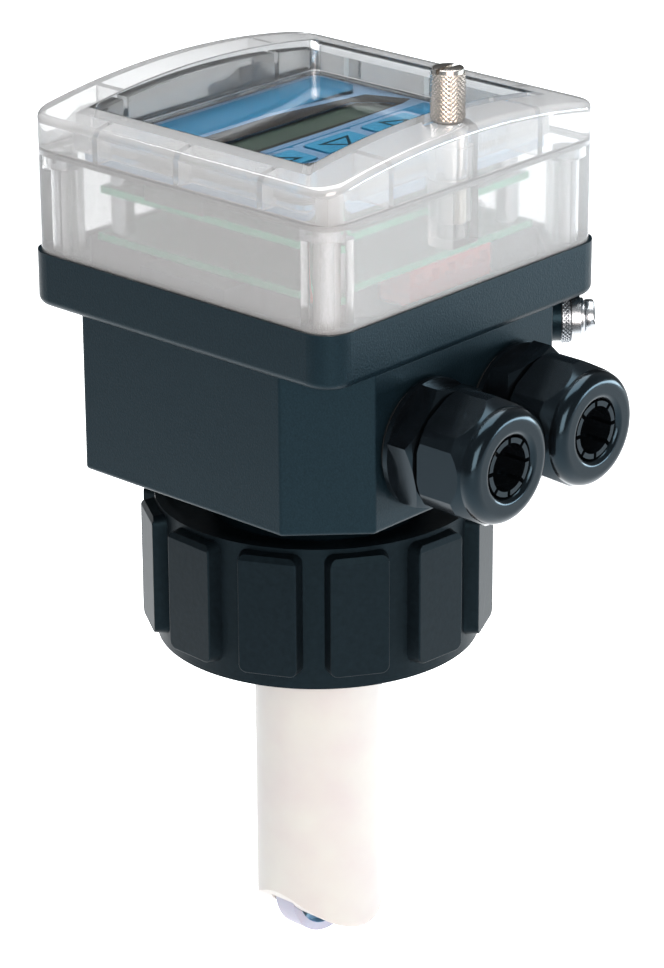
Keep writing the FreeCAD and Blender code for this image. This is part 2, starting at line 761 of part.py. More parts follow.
def make_lid_knuckles():
    body = new_body("lid_knuckles")
    for side, tag in ((-1, "left"), (1, "right")):
        middle = f"{side} * hinge_spread / 2"
        knuckle = sketch_on(body, f"{tag}_knuckle_outline", "YZ_Plane", middle)
        draw_circle(knuckle, "knuckle_radius", hinge_y, hinge_z)
        pad(body, f"{tag}_knuckle", knuckle, "knuckle_length", both_ways=True)
        web = sketch_on(body, f"{tag}_web_outline", "YZ_Plane", middle)
        foot = f"{lid_seat} + knuckle_gap"
        draw_polygon(web, [("cover_width / 2 - knuckle_gap", foot), (hinge_y, hinge_z),
                           (f"{hinge_y} + knuckle_radius / 2", f"{hinge_z} + 0.866 * knuckle_radius"),
                           ("cover_width / 2", f"{hinge_z} + knuckle_web + knuckle_gap"),
                           ("cover_width / 2 - knuckle_gap", f"{hinge_z} + knuckle_web + knuckle_gap")])
        pad(body, f"{tag}_web", web, "knuckle_length", both_ways=True)
    return body


def make_hinge_pins():
    length = "knuckle_length + 2 * knuckle_side_length + 2 * knuckle_gap"
    pins = []
    for side, tag in ((-1, "left"), (1, "right")):
        start = f"{side} * hinge_spread / 2 - ({length}) / 2"
        pins.append(rod(f"hinge_pin_{tag}", "hinge_pin_radius", length, start, hinge_y, hinge_z,
                        toward_right))
    return group("hinge_pins", pins)


# Captive lid screw, its clip and the insert that takes it; the shank is drawn at the thread's root
def make_lid_screw():
    body = new_body("lid_screw")
    tip = f"{lid_crest} - screw_length"
    shoulder = f"{lid_seat} + clip_ring_lift"
    turned(body, "form", [("0", tip), ("screw_root_radius", tip), ("screw_root_radius", lid_crest),
                          ("screw_head_radius", lid_crest), ("screw_head_radius",
                                                             f"{lid_crest} + screw_head_height"),
                          ("0", f"{lid_crest} + screw_head_height")])
    slot = sketch_on(body, "slot_outline", lift=f"{lid_crest} + screw_head_height")
    draw_rectangle(slot, "2 * screw_head_radius + 1", "screw_slot_width")
    pocket(body, "slot", slot, "screw_slot_depth")
    groove = [("screw_root_radius - clip_ring_bite", shoulder), ("screw_head_radius", shoulder),
              ("screw_head_radius", f"{shoulder} + clip_ring_thickness + 2 * clip_ring_clearance"),
              ("screw_root_radius - clip_ring_bite",
               f"{shoulder} + clip_ring_thickness + 2 * clip_ring_clearance")]
    turned(body, "clip_groove", groove, "Groove")
    return place(body, y=screw_y)


def make_screw_clip():
    ring = rod("clip_blank", "clip_ring_radius", "clip_ring_thickness", "0", screw_y,
               f"{lid_seat} + clip_ring_lift + clip_ring_clearance")
    hole = rod("clip_hole", "screw_root_radius - clip_ring_bite + clip_ring_clearance",
               "clip_ring_thickness", "0", screw_y,
               f"{lid_seat} + clip_ring_lift + clip_ring_clearance")
    mouth = block("clip_mouth", "1.2 * screw_root_radius", "clip_ring_radius", "clip_ring_thickness", "0",
                  f"{screw_y} + clip_ring_radius / 2", f"{lid_seat} + clip_ring_lift + clip_ring_clearance")
    return cut("screw_clip", ring, hole, mouth)


def make_screw_insert():
    body = new_body("screw_insert")
    base = f"{lid_seat} - insert_length"
    turned(body, "form", [("insert_thread_radius", base), ("insert_radius - press_clearance", base),
                          ("insert_radius - press_clearance", lid_seat), ("insert_thread_radius",
                                                                          lid_seat)])
    return place(body, y=screw_y)


def make_frame_screws():
    screws = []
    seat = f"({lid_seat} - post_drop)"
    for index, (x, y) in enumerate(post_places, 1):
        shank = rod(f"frame_screw_shank_{index}", "post_screw_radius",
                    "frame_height - post_drop + post_screw_depth", x, y,
                    f"{flange_top} - post_screw_depth")
        head = rod(f"frame_screw_head_{index}", "post_screw_head", "post_screw_head_height", x, y, seat)
        slot = block(f"frame_screw_slot_{index}", "2 * post_screw_head", "screw_slot_width",
                     "post_screw_head_height / 2",
                     x, y, f"{seat} + post_screw_head_height / 2")
        screws.append(cut(f"frame_screw_{index}", fuse(f"frame_screw_form_{index}", shank, head), slot))
    return group("frame_screws", screws)


# Display: faceplate, keys, glass and the boards below
key_places = {"key_left": -1, "key_middle": 0, "key_right": 1}


def make_keypad_panel():
    body = new_body("keypad_panel")
    outline = sketch_on(body, "outline", lift=panel_base)
    draw_rounded_rectangle(outline, "panel_width", "panel_length", "panel_corner_radius")
    pad(body, "plate", outline, "panel_thickness")
    notch = sketch_on(body, "notch_outline", lift=panel_top)
    draw_circle(notch, "screw_boss_radius + panel_notch_gap", "0", screw_y)
    pocket(body, "notch", notch, "panel_thickness")
    openings = sketch_on(body, "opening_outline", lift=panel_top)
    draw_rounded_rectangle(openings, "lcd_width", "lcd_length", "key_corner_radius", "0", "lcd_centre")
    for step in key_places.values():
        draw_rounded_rectangle(openings, "key_width", "key_length", "key_corner_radius",
                               f"{step} * key_pitch", "-key_centre")
    pocket(body, "openings", openings, "panel_thickness")
    return body


def make_key(name, step):
    body = new_body(name)
    middle = f"{step} * key_pitch"
    cap = sketch_on(body, "cap_outline", lift=key_flange_top)
    draw_rounded_rectangle(cap, "key_width - 2 * key_clearance", "key_length - 2 * key_clearance",
                           "key_corner_radius - key_clearance", middle, "-key_centre")
    pad(body, "cap", cap, f"{panel_top} + key_proud - {key_flange_top}")
    flange = sketch_on(body, "flange_outline", lift=key_flange_base)
    draw_rounded_rectangle(flange, "key_width + key_flange", "key_length + key_flange",
                           "key_corner_radius", middle, "-key_centre")
    pad(body, "flange", flange, "key_flange")
    return body


def make_lcd_module():
    height = f"{panel_base} - lcd_gap - {display_board_top}"
    carrier = block("lcd_carrier", "lcd_width + 2 * lcd_border", "lcd_length + 2 * lcd_border", height,
                    "0", "lcd_centre",
                    display_board_top)
    glass = block("lcd_glass", "lcd_width - lcd_border", "lcd_length - lcd_border",
                  "lcd_gap + panel_thickness / 2", "0",
                  "lcd_centre", f"{panel_base} - lcd_gap")
    return fuse("lcd_module", carrier, glass)


def make_key_switches():
    height = f"{key_flange_base} - key_travel - key_play - {display_board_top}"
    switches = []
    for name, step in key_places.items():
        switches.append(block(f"{name}_switch", "switch_width", "switch_width", height,
                              f"{step} * key_pitch",
                              "-key_centre", display_board_top))
    return group("key_switches", switches)


def make_board(name, length, base):
    return block(name, "board_width", length, "board_thickness", "0", "0", base)


def make_board_spacers():
    spans = {"lower": (main_board_top, display_board_base), "upper": (display_board_top, panel_base)}
    spacers = []
    for tag, (base, top) in spans.items():
        for index, (x, y) in enumerate(spacer_places, 1):
            spacers.append(rod(f"spacer_{tag}_{index}", "spacer_radius", f"{top} - {base}", x, y, base))
    return group("board_spacers", spacers)


def make_terminal_block():
    front = "(terminal_length / 2 - main_board_length / 2)"
    low = f"({main_board_base} - terminal_height)"
    blank = block("terminal_blank", "terminal_width", "terminal_length", "terminal_height", "terminal_offset",
                  front, low)
    cuts = []
    for index in range(int(size("terminal_count"))):
        across = f"(terminal_offset + ({index} + 0.5 - terminal_count / 2) * terminal_width / terminal_count)"
        cuts.append(rod(f"terminal_well_{index + 1}", "terminal_screw_radius", "terminal_height / 2", across,
                        front, low))
        cuts.append(block(f"terminal_mouth_{index + 1}", "2 * terminal_screw_radius", "terminal_length / 2",
                          "terminal_height / 3", across, f"{front} - terminal_length / 2",
                          f"{main_board_base} - terminal_height / 2"))
    return cut("terminal_block", blank, *cuts)


# Sensor stem: a turned form whose end is shaped into two cheeks with a slot between them
def make_sensor_stem():
    body = new_body("stem_turned")
    groove_radius = "(spigot_radius - clip_groove_depth)"
    oring_groove = "(spigot_radius + spigot_clearance - 2 * oring_section)"
    oring_low = "(oring_height - 1.3 * oring_section)"
    oring_high = "(oring_height + 1.3 * oring_section)"
    face_inner = "(face_oring_radius - 1.3 * oring_section)"
    face_outer = "(face_oring_radius + 1.3 * oring_section)"
    stem_end = "(-cheek_centre_drop - cheek_radius - 1)"
    turned(body, "form", [
        ("0", "-stem_bore_depth"), ("stem_bore_radius", "-stem_bore_depth"), ("stem_bore_radius",
                                                                              spigot_top),
        ("spigot_radius", spigot_top), ("spigot_radius", f"{floor_top} + clip_thickness"),
        (groove_radius, f"{floor_top} + clip_thickness"), (groove_radius, floor_top), ("spigot_radius",
                                                                                       floor_top),
        ("spigot_radius", oring_high), (oring_groove, oring_high), (oring_groove, oring_low),
        ("spigot_radius", oring_low),
        ("spigot_radius", "collar_height"), ("collar_radius", "collar_height"), ("collar_radius", "0"),
        (face_outer, "0"), (face_outer, "2 * oring_section"), (face_inner, "2 * oring_section"),
        (face_inner, "0"),
        ("stem_radius", "0"), ("stem_radius", stem_end), ("0", stem_end)])
    reach = "2 * collar_radius + 2"
    upper = block("stem_upper_form", reach, reach, f"cheek_centre_drop + {spigot_top}", "0", "0",
                  "-cheek_centre_drop")
    cheek = rod("stem_cheek_form", "cheek_radius", reach, "0", "collar_radius + 1", "-cheek_centre_drop",
                toward_front)
    shaped = common("stem_shaped", body, fuse("stem_form", upper, cheek))
    slot = block("stem_slot", "2 * (wheel_radius + slot_headroom)", "slot_width",
                 "wheel_radius + slot_headroom + cheek_radius", "0", "0", f"{wheel_z} - cheek_radius")
    socket = rod("stem_socket", "bearing_radius", "slot_width + 2 * bearing_length", "0",
                 "slot_width / 2 + bearing_length",
                 wheel_z, toward_front)
    return cut("sensor_stem", shaped, slot, socket)


def make_ring(name, inner, outer, base, height, x="0", y="0", turn=None):
    body = new_body(name)
    turned(body, "form", [(inner, "0"), (outer, "0"), (outer, height), (inner, height)])
    return place(body, x, y, base, turn)


def make_oring(name, ring_radius, level):
    item = doc.addObject("Part::Torus", name)
    bind(item, Radius1=ring_radius, Radius2="oring_section - oring_slack")
    return place(item, z=level)


def make_stem_clip():
    inner = "(spigot_radius - clip_groove_depth + press_clearance)"
    ring = rod("stem_clip_blank", "spigot_radius + clip_width", "clip_thickness", z=floor_top)
    hole = rod("stem_clip_hole", inner, "clip_thickness", z=floor_top)
    mouth = block("stem_clip_mouth", "spigot_radius / 2", "spigot_radius + clip_width", "clip_thickness",
                  "0",
                  "(spigot_radius + clip_width) / 2", floor_top)
    return cut("stem_clip", ring, hole, mouth)


# Paddle wheel, built along +Z and laid along the axle
def make_paddle_wheel():
    body = new_body("paddle_wheel")
    bead = "(wheel_radius - wheel_bead)"
    bore = "(axle_radius + press_clearance)"
    turned(body, "form", [
        (bore, "-wheel_width / 2"), ("hub_radius", "-wheel_width / 2"), ("hub_radius", "-wheel_web / 2"),
        (bead, "-wheel_web / 2"), (bead, "-wheel_bead_width / 2"), ("wheel_radius",
                                                                    "-wheel_bead_width / 2"),
        ("wheel_radius", "wheel_bead_width / 2"), (bead, "wheel_bead_width / 2"), (bead, "wheel_web / 2"),
        ("hub_radius", "wheel_web / 2"), ("hub_radius", "wheel_width / 2"), (bore, "wheel_width / 2")])
    blade = sketch_on(body, "blade_outline")
    draw_polygon(blade, [("hub_radius - 0.5", "-blade_thickness / 2"), (f"{bead} + 0.2",
                                                                        "-blade_thickness / 2"),
                         (f"{bead} + 0.2", "blade_thickness / 2"), ("hub_radius - 0.5",
                                                                    "blade_thickness / 2")])
    repeat_round(body, "blades", pad(body, "blade", blade, "wheel_width", both_ways=True), "blade_count")
    turn_x = "magnet_circle * cos(180 / blade_count)"
    turn_y = "magnet_circle * sin(180 / blade_count)"
    boss = sketch_on(body, "magnet_boss_outline")
    draw_circle(boss, "magnet_radius + magnet_wall", turn_x, turn_y)
    repeat_round(body, "magnet_bosses", pad(body, "magnet_boss", boss, "magnet_length", both_ways=True),
                 "magnet_count")
    hole = sketch_on(body, "magnet_hole_outline")
    draw_circle(hole, "magnet_radius + press_clearance", turn_x, turn_y)
    repeat_round(body, "magnet_holes", pocket(body, "magnet_hole", hole, "magnet_length", both_ways=True),
                 "magnet_count")
    return place(body, z=wheel_z, turn=toward_front)


def make_wheel_magnets():
    magnets = []
    first = 180 / size("blade_count")
    for index in range(int(size("magnet_count"))):
        angle = math.radians(first + 360 * index / size("magnet_count"))
        magnets.append(rod(f"magnet_{index + 1}", "magnet_radius", "magnet_length",
                           f"magnet_circle * {math.cos(angle):.9f}",
                           "magnet_length / 2", f"{wheel_z} + magnet_circle * {math.sin(angle):.9f}",
                           toward_front))
    return group("wheel_magnets", magnets)


def make_axle():
    length = "slot_width + 2 * bearing_length - 2 * axle_clearance"
    return rod("axle", "axle_radius", length, "0", f"({length}) / 2", wheel_z, toward_front)


def make_bearings():
    bushes = []
    for side, tag in ((-1, "front"), (1, "back")):
        start = f"{side} * (slot_width + bearing_length) / 2 + bearing_length / 2"
        bush = rod(f"bush_{tag}", "bearing_radius - press_clearance", "bearing_length", "0", start,
                   wheel_z, toward_front)
        hole = rod(f"bush_hole_{tag}", "axle_radius + axle_clearance", "bearing_length", "0", start,
                   wheel_z, toward_front)
        bushes.append(cut(f"bearing_{tag}", bush, hole))
    return group("bearings", bushes)


# Union nut: a turned ring with a lip over the stem's collar and a round of grip pads
def make_union_nut():
    body = new_body("nut_ring")
    mouth = "(nut_thread_radius + nut_mouth_chamfer)"
    lip_hole = "(neck_radius + nut_neck_clearance)"
    turned(body, "form", [
        (mouth, nut_base), ("nut_radius", nut_base), ("nut_radius", nut_top), ("nut_radius - nut_rim",
                                                                               nut_top),
        ("nut_radius - nut_rim", lip_top), (lip_hole, lip_top), (lip_hole, lip_base), ("nut_thread_radius",
                                                                                       lip_base),
        ("nut_thread_radius", f"{nut_base} + nut_mouth_chamfer")])
    nut = fuse("union_nut", body, make_grip_pads())
    nut.Placement = Placement(Vector(), Rotation(Vector(0, 0, 1), size("grip_turn")))
    nut.setExpression("Placement.Rotation.Angle", formula("grip_turn"))
    return nut


# Flat-faced pads with drafted sides, rooted in the nut's wall
def make_grip_pads():
    body = new_body("grip_pads")
    body.AllowCompound = True
    root = "nut_radius - nut_rim / 2"
    height = "(nut_height - grip_margin_low - grip_margin_top)"
    outline = sketch_on(body, "outline", "XZ_Plane", root)
    draw_rounded_rectangle(outline, "grip_width", height, "grip_corner_radius", "0",
                           f"{nut_base} + grip_margin_low + {height} / 2")
    first = pad(body, "pad", outline, f"grip_radius - ({root})")
    first.setExpression("TaperAngle", formula("-grip_draft"))
    face = -size("grip_radius")

    def face_edge(edge):
        return max(abs(edge.BoundBox.YMin - face), abs(edge.BoundBox.YMax - face)) < 1e-4

    round_edges(body, "pad_edges", "grip_edge_radius", face_edge)
    top = f"({nut_top} - grip_margin_top)"
    slope = sketch_on(body, "slope_outline", "YZ_Plane")
    draw_polygon(slope, [("-grip_radius", f"{top} - grip_bevel_height"),
                         ("-grip_radius - 1", f"{top} - grip_bevel_height"), ("-grip_radius - 1", top),
                         ("grip_bevel_depth - grip_radius", top)])
    pocket(body, "slope", slope, "2 * grip_width", both_ways=True)
    pattern = body.newObject("PartDesign::PolarPattern", "grip_pad_round")
    pattern.TransformMode = "Whole shape"
    pattern.Axis = (next(item for item in body.Origin.OriginFeatures if item.Role == "Z_Axis"), [""])
    pattern.Angle = 360
    pattern.setExpression("Occurrences", formula("grip_count"))
    body.Tip = pattern
    return body


# One cable gland, built along +Z from the housing's outer face and laid towards the front
hex_base = "(gland_ring_thickness + gland_collar_thickness)"
hex_top = "(gland_ring_thickness + gland_hex_length)"
neck_top = f"({hex_top} + gland_neck_length)"
gland_nut_base = f"({hex_top} + gland_nut_gap)"
dome_base = f"({gland_nut_base} + gland_nut_hex_length)"
dome_top = f"({dome_base} + gland_dome_length)"
dome_inside = f"({dome_top} - gland_dome_wall)"
thread_end = "(-housing_wall - gland_thread_inside)"
seat_base = f"({hex_top} + gland_seat_wall)"
claw_top = f"({dome_inside} - gland_play)"
claw_base = f"({claw_top} - claw_base_thickness)"


def set_gland(item, side, turn=None):
    spin = Rotation(Vector(0, 0, 1), size(turn)) if turn else Rotation()
    return place(item, f"{side} * gland_pitch / 2", gland_face, gland_z, toward_front.multiply(spin))


def make_gland_body(name, side, turn):
    body = new_body(name)
    turned(body, "form", [
        ("gland_bore_radius", thread_end), ("gland_thread_radius", thread_end),
        ("gland_thread_radius", "gland_ring_thickness"), ("gland_collar_radius", "gland_ring_thickness"),
        ("gland_collar_radius", hex_base), ("gland_neck_radius", hex_base), ("gland_neck_radius", neck_top),
        ("gland_seat_radius", neck_top), ("gland_seat_radius", seat_base), ("gland_bore_radius",
                                                                            seat_base)])
    outline = sketch_on(body, "hex_outline", lift=hex_base)
    draw_hexagon(outline, "gland_hex_width")
    draw_circle(outline, "gland_neck_radius - 0.5")
    pad(body, "hex", outline, f"{hex_top} - {hex_base}")
    corner = "(gland_hex_width / 2 + gland_hex_chamfer / 2)"
    chamfer_end = f"{hex_top} - 0.577 * (gland_hex_width - {corner})"
    turned(body, "hex_chamfer", [(corner, hex_top), ("gland_hex_width", hex_top),
                                 ("gland_hex_width", chamfer_end)], "Groove")
    return set_gland(body, side, turn)


def make_gland_nut(name, side):
    body = new_body(name)
    bore = "(gland_neck_radius + gland_nut_clearance)"
    corner = "(gland_nut_width / 2 + gland_nut_chamfer / 2)"
    outline = sketch_on(body, "hex_outline", lift=gland_nut_base)
    draw_hexagon(outline, "gland_nut_width")
    pad(body, "hex", outline, f"{dome_base} - {gland_nut_base}")
    turned(body, "corner_trim", [
        (corner, gland_nut_base), ("gland_nut_width", gland_nut_base), ("gland_nut_width", dome_base),
        ("gland_dome_radius", dome_base), ("gland_nut_corner_radius", f"{dome_base} - gland_nut_front_chamfer"),
        ("gland_nut_corner_radius", f"{gland_nut_base} + gland_nut_chamfer")], "Groove")
    dome = sketch_on(body, "dome_outline", lift=f"{dome_base} - gland_nut_chamfer")
    draw_circle(dome, "gland_dome_radius")
    pad(body, "dome", dome, "gland_dome_length + gland_nut_chamfer")
    mouth = sketch_on(body, "mouth_outline", lift=dome_top)
    draw_circle(mouth, "gland_mouth_radius")
    pocket(body, "mouth", mouth, f"{dome_top} - {gland_nut_base}")
    thread = sketch_on(body, "thread_outline", lift=dome_inside)
    draw_circle(thread, bore)
    pocket(body, "thread", thread, f"{dome_inside} - {gland_nut_base}")
    front = sum(size(name) for name in ("gland_ring_thickness", "gland_hex_length", "gland_nut_gap",
                                        "gland_nut_hex_length", "gland_dome_length"))
    round_edges(body, "dome_round", "gland_dome_round", circle_edge(size("gland_dome_radius"), front))
    round_edges(body, "mouth_round", "gland_mouth_round", circle_edge(size("gland_mouth_radius"), front))
    return set_gland(body, side)


def make_gland_clamp(name, side):
    body = new_body(name)
    outer = "(claw_bore_radius + claw_wall)"
    turned(body, "form", [("claw_bore_radius", claw_base), ("claw_base_radius", claw_base),
                          ("claw_base_radius", claw_top),
                          (outer, claw_top), (outer, f"{dome_top} - claw_recess"),
                          ("claw_bore_radius", f"{dome_top} - claw_recess")])
    slot = sketch_on(body, "slot_outline", lift=f"{dome_top} - claw_recess")
    draw_polygon(slot, [("claw_bore_radius - 0.5", "-claw_slot / 2"), (f"{outer} + 0.5", "-claw_slot / 2"),
                        (f"{outer} + 0.5", "claw_slot / 2"), ("claw_bore_radius - 0.5", "claw_slot / 2")])
    first = pocket(body, "slot", slot, f"{dome_top} - claw_recess - {claw_top} - gland_play")
    repeat_round(body, "slots", first, "claw_count")
    return set_gland(body, side)


def make_gland_seal(name, side):
    body = new_body(name)
    outer = "(gland_seat_radius - seal_outer_clearance)"
    base = f"{seat_base} + gland_play"
    turned(body, "form", [("seal_bore_radius", base), (outer, base), (outer, claw_base),
                          ("seal_bore_radius", claw_base)])
    return set_gland(body, side)


def make_gland_ring(name, side):
    body = new_body(name)
    inner = "(gland_thread_radius + gland_hole_clearance)"
    turned(body, "form", [(inner, "0"), ("gland_ring_radius", "0"), ("gland_ring_radius",
                                                                     "gland_ring_thickness"),
                          (inner, "gland_ring_thickness")])
    return set_gland(body, side)


def make_gland_locknut(name, side):
    body = new_body(name)
    outline = sketch_on(body, "outline", lift="-housing_wall")
    draw_hexagon(outline, "locknut_width")
    draw_circle(outline, "gland_thread_radius + locknut_clearance")
    pad(body, "hex", outline, "locknut_thickness", reverse=True)
    spin = Rotation(Vector(0, 0, 1), 30)
    return place(body, f"{side} * gland_pitch / 2", gland_face, gland_z, toward_front.multiply(spin))


# Earth terminal: a clamp screw with its nut and washers, built along +Z and laid to the right
earth_nut_end = "earth_nut_thickness"
earth_washer_end = f"({earth_nut_end} + earth_washer_thickness)"
earth_spring_end = f"({earth_washer_end} + earth_spring_thickness)"


def set_earth(item):
    return place(item, "earth_boss_end * sqrt(0.5)", "-earth_boss_end * sqrt(0.5)", earth_z, toward_corner)


def make_earth_ring(name, radius, base, top):
    body = new_body(name)
    inner = "(earth_screw_radius + earth_clearance)"
    turned(body, "form", [(inner, base), (radius, base), (radius, top), (inner, top)])
    return set_earth(body)


def make_earth_screw():
    body = new_body("earth_screw")
    turned(body, "form", [("0", "-earth_hole_depth"), ("earth_screw_radius", "-earth_hole_depth"),
                          ("earth_screw_radius", earth_spring_end), ("earth_head_radius", earth_spring_end),
                          ("earth_head_radius", f"{earth_spring_end} + earth_head_height"),
                          ("0", f"{earth_spring_end} + earth_head_height")])
    cross = sketch_on(body, "cross_outline", lift=f"{earth_spring_end} + earth_head_height")
    draw_rectangle(cross, "2 * earth_head_radius + 1", "earth_slot_width")
    pocket(body, "slot", cross, "earth_slot_depth")
    front = sum(size(name) for name in ("earth_nut_thickness", "earth_washer_thickness",
                                        "earth_spring_thickness",
                                        "earth_head_height"))

    def head_rim(edge):
        if edge.Curve.TypeId != "Part::GeomCircle" or not level_edge(front)(edge):
            return False
        return abs(edge.Curve.Radius - size("earth_head_radius")) < 1e-3

    round_edges(body, "head_round", "earth_head_height / 3", head_rim)
    return set_earth(body)


groove_span = "(flange_width - 2 * groove_inset)"
seal_span = "(cover_width - 2 * seal_inset)"

parts = [
    make_lower_housing(),
    make_seal_ring("frame_gasket", groove_span, "(flange_corner_radius - groove_inset)", "groove_width",
                   f"{flange_top} - groove_depth", "groove_depth"),
    make_clear_frame(),
    make_seal_ring("lid_gasket", seal_span, "(cover_corner_radius - seal_inset)", "seal_width",
                   f"{lid_seat} - seal_depth", "seal_depth"),
    make_lid(),
    make_hinge_pins(),
    make_lid_screw(),
    make_screw_clip(),
    make_screw_insert(),
    make_frame_screws(),
    make_keypad_panel(),
    make_lcd_module(),
    make_key_switches(),
    make_board("display_board", "display_board_length", display_board_base),
    make_board("main_board", "main_board_length", main_board_base),
    make_board_spacers(),
    make_terminal_block(),
    make_sensor_stem(),
    make_stem_clip(),
    make_oring("stem_oring", "spigot_radius + spigot_clearance - oring_section", "oring_height"),
    make_oring("collar_oring", "face_oring_radius", "oring_section"),
    make_paddle_wheel(),
    make_wheel_magnets(),
    make_axle(),
    make_bearings(),
    block("sensor_board", "sensor_board_width", "board_thickness", "sensor_board_length",
          z="-stem_bore_depth"),
    rod("sensor_cable", "sensor_cable_radius", f"{main_board_base} + stem_bore_depth - sensor_board_length",
        z="sensor_board_length - stem_bore_depth"),
    make_union_nut(),
    make_earth_ring("earth_nut", "earth_nut_radius", "0", earth_nut_end),
    make_earth_ring("earth_washer", "earth_washer_radius", earth_nut_end, earth_washer_end),
    make_earth_ring("earth_spring_washer", "earth_spring_radius", earth_washer_end, earth_spring_end),
    make_earth_screw(),
]
for name, step in key_places.items():
    parts.append(make_key(name, step))
for side, tag in ((-1, "left"), (1, "right")):
    parts.append(make_gland_body(f"{tag}_gland_body", side, f"{tag}_gland_turn"))
    parts.append(make_gland_ring(f"{tag}_gland_ring", side))
    parts.append(make_gland_locknut(f"{tag}_gland_locknut", side))
    parts.append(make_gland_nut(f"{tag}_gland_nut", side))
    parts.append(make_gland_clamp(f"{tag}_gland_clamp", side))
    parts.append(make_gland_seal(f"{tag}_gland_seal", side))

doc.recompute()

# Nothing is written unless every object is sound
for item in doc.Objects:
    if "Invalid" in item.State or "Error" in item.State:
        raise RuntimeError(f"{item.Name} failed: {item.State}")
for item in parts:
    if item.Shape.isNull() or not item.Shape.isValid():
        raise RuntimeError(f"{item.Label} has no sound shape")

os.makedirs("parts", exist_ok=True)
for item in parts:
    item.Shape.exportStep(f"parts/{item.Label}.step")
    print(item.Label, len(item.Shape.Solids), round(item.Shape.Volume, 1))
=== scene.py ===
import math

import bpy
from mathutils import Matrix, Vector


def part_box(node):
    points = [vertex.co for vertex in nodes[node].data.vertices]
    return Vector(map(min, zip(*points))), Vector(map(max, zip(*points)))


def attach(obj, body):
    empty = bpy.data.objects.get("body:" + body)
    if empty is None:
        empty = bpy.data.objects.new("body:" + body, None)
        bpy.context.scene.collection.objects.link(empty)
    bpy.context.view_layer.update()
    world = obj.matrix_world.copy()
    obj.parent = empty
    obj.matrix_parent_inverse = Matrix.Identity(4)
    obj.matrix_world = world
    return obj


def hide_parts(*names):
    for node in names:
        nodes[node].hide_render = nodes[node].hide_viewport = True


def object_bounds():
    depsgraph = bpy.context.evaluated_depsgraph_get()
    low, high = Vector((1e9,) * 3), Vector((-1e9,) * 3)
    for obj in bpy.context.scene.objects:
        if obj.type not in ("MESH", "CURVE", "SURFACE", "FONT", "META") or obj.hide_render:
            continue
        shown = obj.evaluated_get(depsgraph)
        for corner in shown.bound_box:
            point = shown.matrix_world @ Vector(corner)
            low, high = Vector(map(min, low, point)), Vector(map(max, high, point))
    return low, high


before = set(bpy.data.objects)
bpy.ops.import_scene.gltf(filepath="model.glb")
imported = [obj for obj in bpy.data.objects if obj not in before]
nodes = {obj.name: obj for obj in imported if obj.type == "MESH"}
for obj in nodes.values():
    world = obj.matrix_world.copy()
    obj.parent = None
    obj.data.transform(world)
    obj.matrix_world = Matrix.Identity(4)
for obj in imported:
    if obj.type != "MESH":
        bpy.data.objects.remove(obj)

cadBox = [list(corner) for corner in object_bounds()]
mm = 0.001
tiny = 1e-6  # metres, shorter than any edge here
levelCosine = 0.9  # a face lies level where its normal is this upright
print("frame loaded,", len(nodes), "nodes")


# Small helpers for selecting and placing

def nothingSelected():
    if bpy.context.mode != "OBJECT":
        bpy.ops.object.mode_set(mode="OBJECT")
    bpy.ops.object.select_all(action="DESELECT")


def onlySelected(*items):
    nothingSelected()
    for item in items:
        item.select_set(True)
    bpy.context.view_layer.objects.active = items[0]


# Names the primitive that was just added and opens it in edit mode
def startPiece(name):
    piece = bpy.context.object
    piece.name = name
    piece.data.name = name
    bpy.ops.object.mode_set(mode="EDIT")
    return piece


# Leaves edit mode with the place in the mesh, and smooths edges up to an angle in degrees, or none
def endPiece(piece, smooth=30):
    bpy.ops.object.mode_set(mode="OBJECT")
    onlySelected(piece)
    bpy.ops.object.transform_apply(location=True, rotation=True, scale=True)
    if smooth:
        bpy.ops.object.shade_smooth_by_angle(angle=math.radians(smooth))
    return piece


# Opens a piece in edit mode again with all of it selected
def openAll(piece):
    onlySelected(piece)
    bpy.ops.object.mode_set(mode="EDIT")
    bpy.ops.mesh.select_all(action="SELECT")


# Picks faces, edges or corners of the piece in edit mode by a test on their place and direction
def pick(piece, test, kind="FACE"):
    bpy.ops.mesh.select_all(action="DESELECT")
    bpy.ops.mesh.select_mode(type=kind)
    bpy.ops.object.mode_set(mode="OBJECT")
    mesh = piece.data
    if kind == "FACE":
        for face in mesh.polygons:
            face.select = test(face.center, face.normal)
    elif kind == "EDGE":
        for edge in mesh.edges:
            ends = [mesh.vertices[index].co for index in edge.vertices]
            edge.select = test((ends[0] + ends[1]) / 2, ends[1] - ends[0])
    else:
        for corner in mesh.vertices:
            corner.select = test(corner.co, corner.normal)
    bpy.ops.object.mode_set(mode="EDIT")


# Tests for pick: edges that rise, and faces that lie level
def rises(spot, along):
    return abs(along.z) > tiny


def liesLevel(spot, normal):
    return abs(normal.z) > levelCosine


def facesOutward():
    bpy.ops.mesh.select_all(action="SELECT")
    bpy.ops.mesh.normals_make_consistent(inside=False)


def applyModifier(piece, kind, **settings):
    modifier = piece.modifiers.new(kind.lower(), kind)
    for key, value in settings.items():
        setattr(modifier, key, value)
    onlySelected(piece)
    bpy.ops.object.modifier_apply(modifier=modifier.name)


def cutThrough(piece, hole):
    applyModifier(piece, "BOOLEAN", object=hole, operation="DIFFERENCE", solver="EXACT")
    bpy.data.objects.remove(hole)


def joined(name, pieces):
    onlySelected(*pieces)
    bpy.ops.object.join()
    piece = bpy.context.object
    piece.name = name
    piece.data.name = name
    return piece


def shiftMesh(piece, place):
    piece.data.transform(Matrix.Translation(place))


def turnMesh(piece, degrees, axis):
    piece.data.transform(Matrix.Rotation(math.radians(degrees), 4, axis))


def dress(piece, material, body, slot, *replaced):
    piece.data.materials.clear()
    piece.data.materials.append(material)
    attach(piece, body)
    if replaced:
        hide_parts(*replaced)


# Materials

def linear(hexColour):
    channels = [int(hexColour[k:k + 2], 16) / 255 for k in (1, 3, 5)]
    return [c / 12.92 if c <= 0.04045 else ((c + 0.055) / 1.055) ** 2.4 for c in channels] + [1.0]


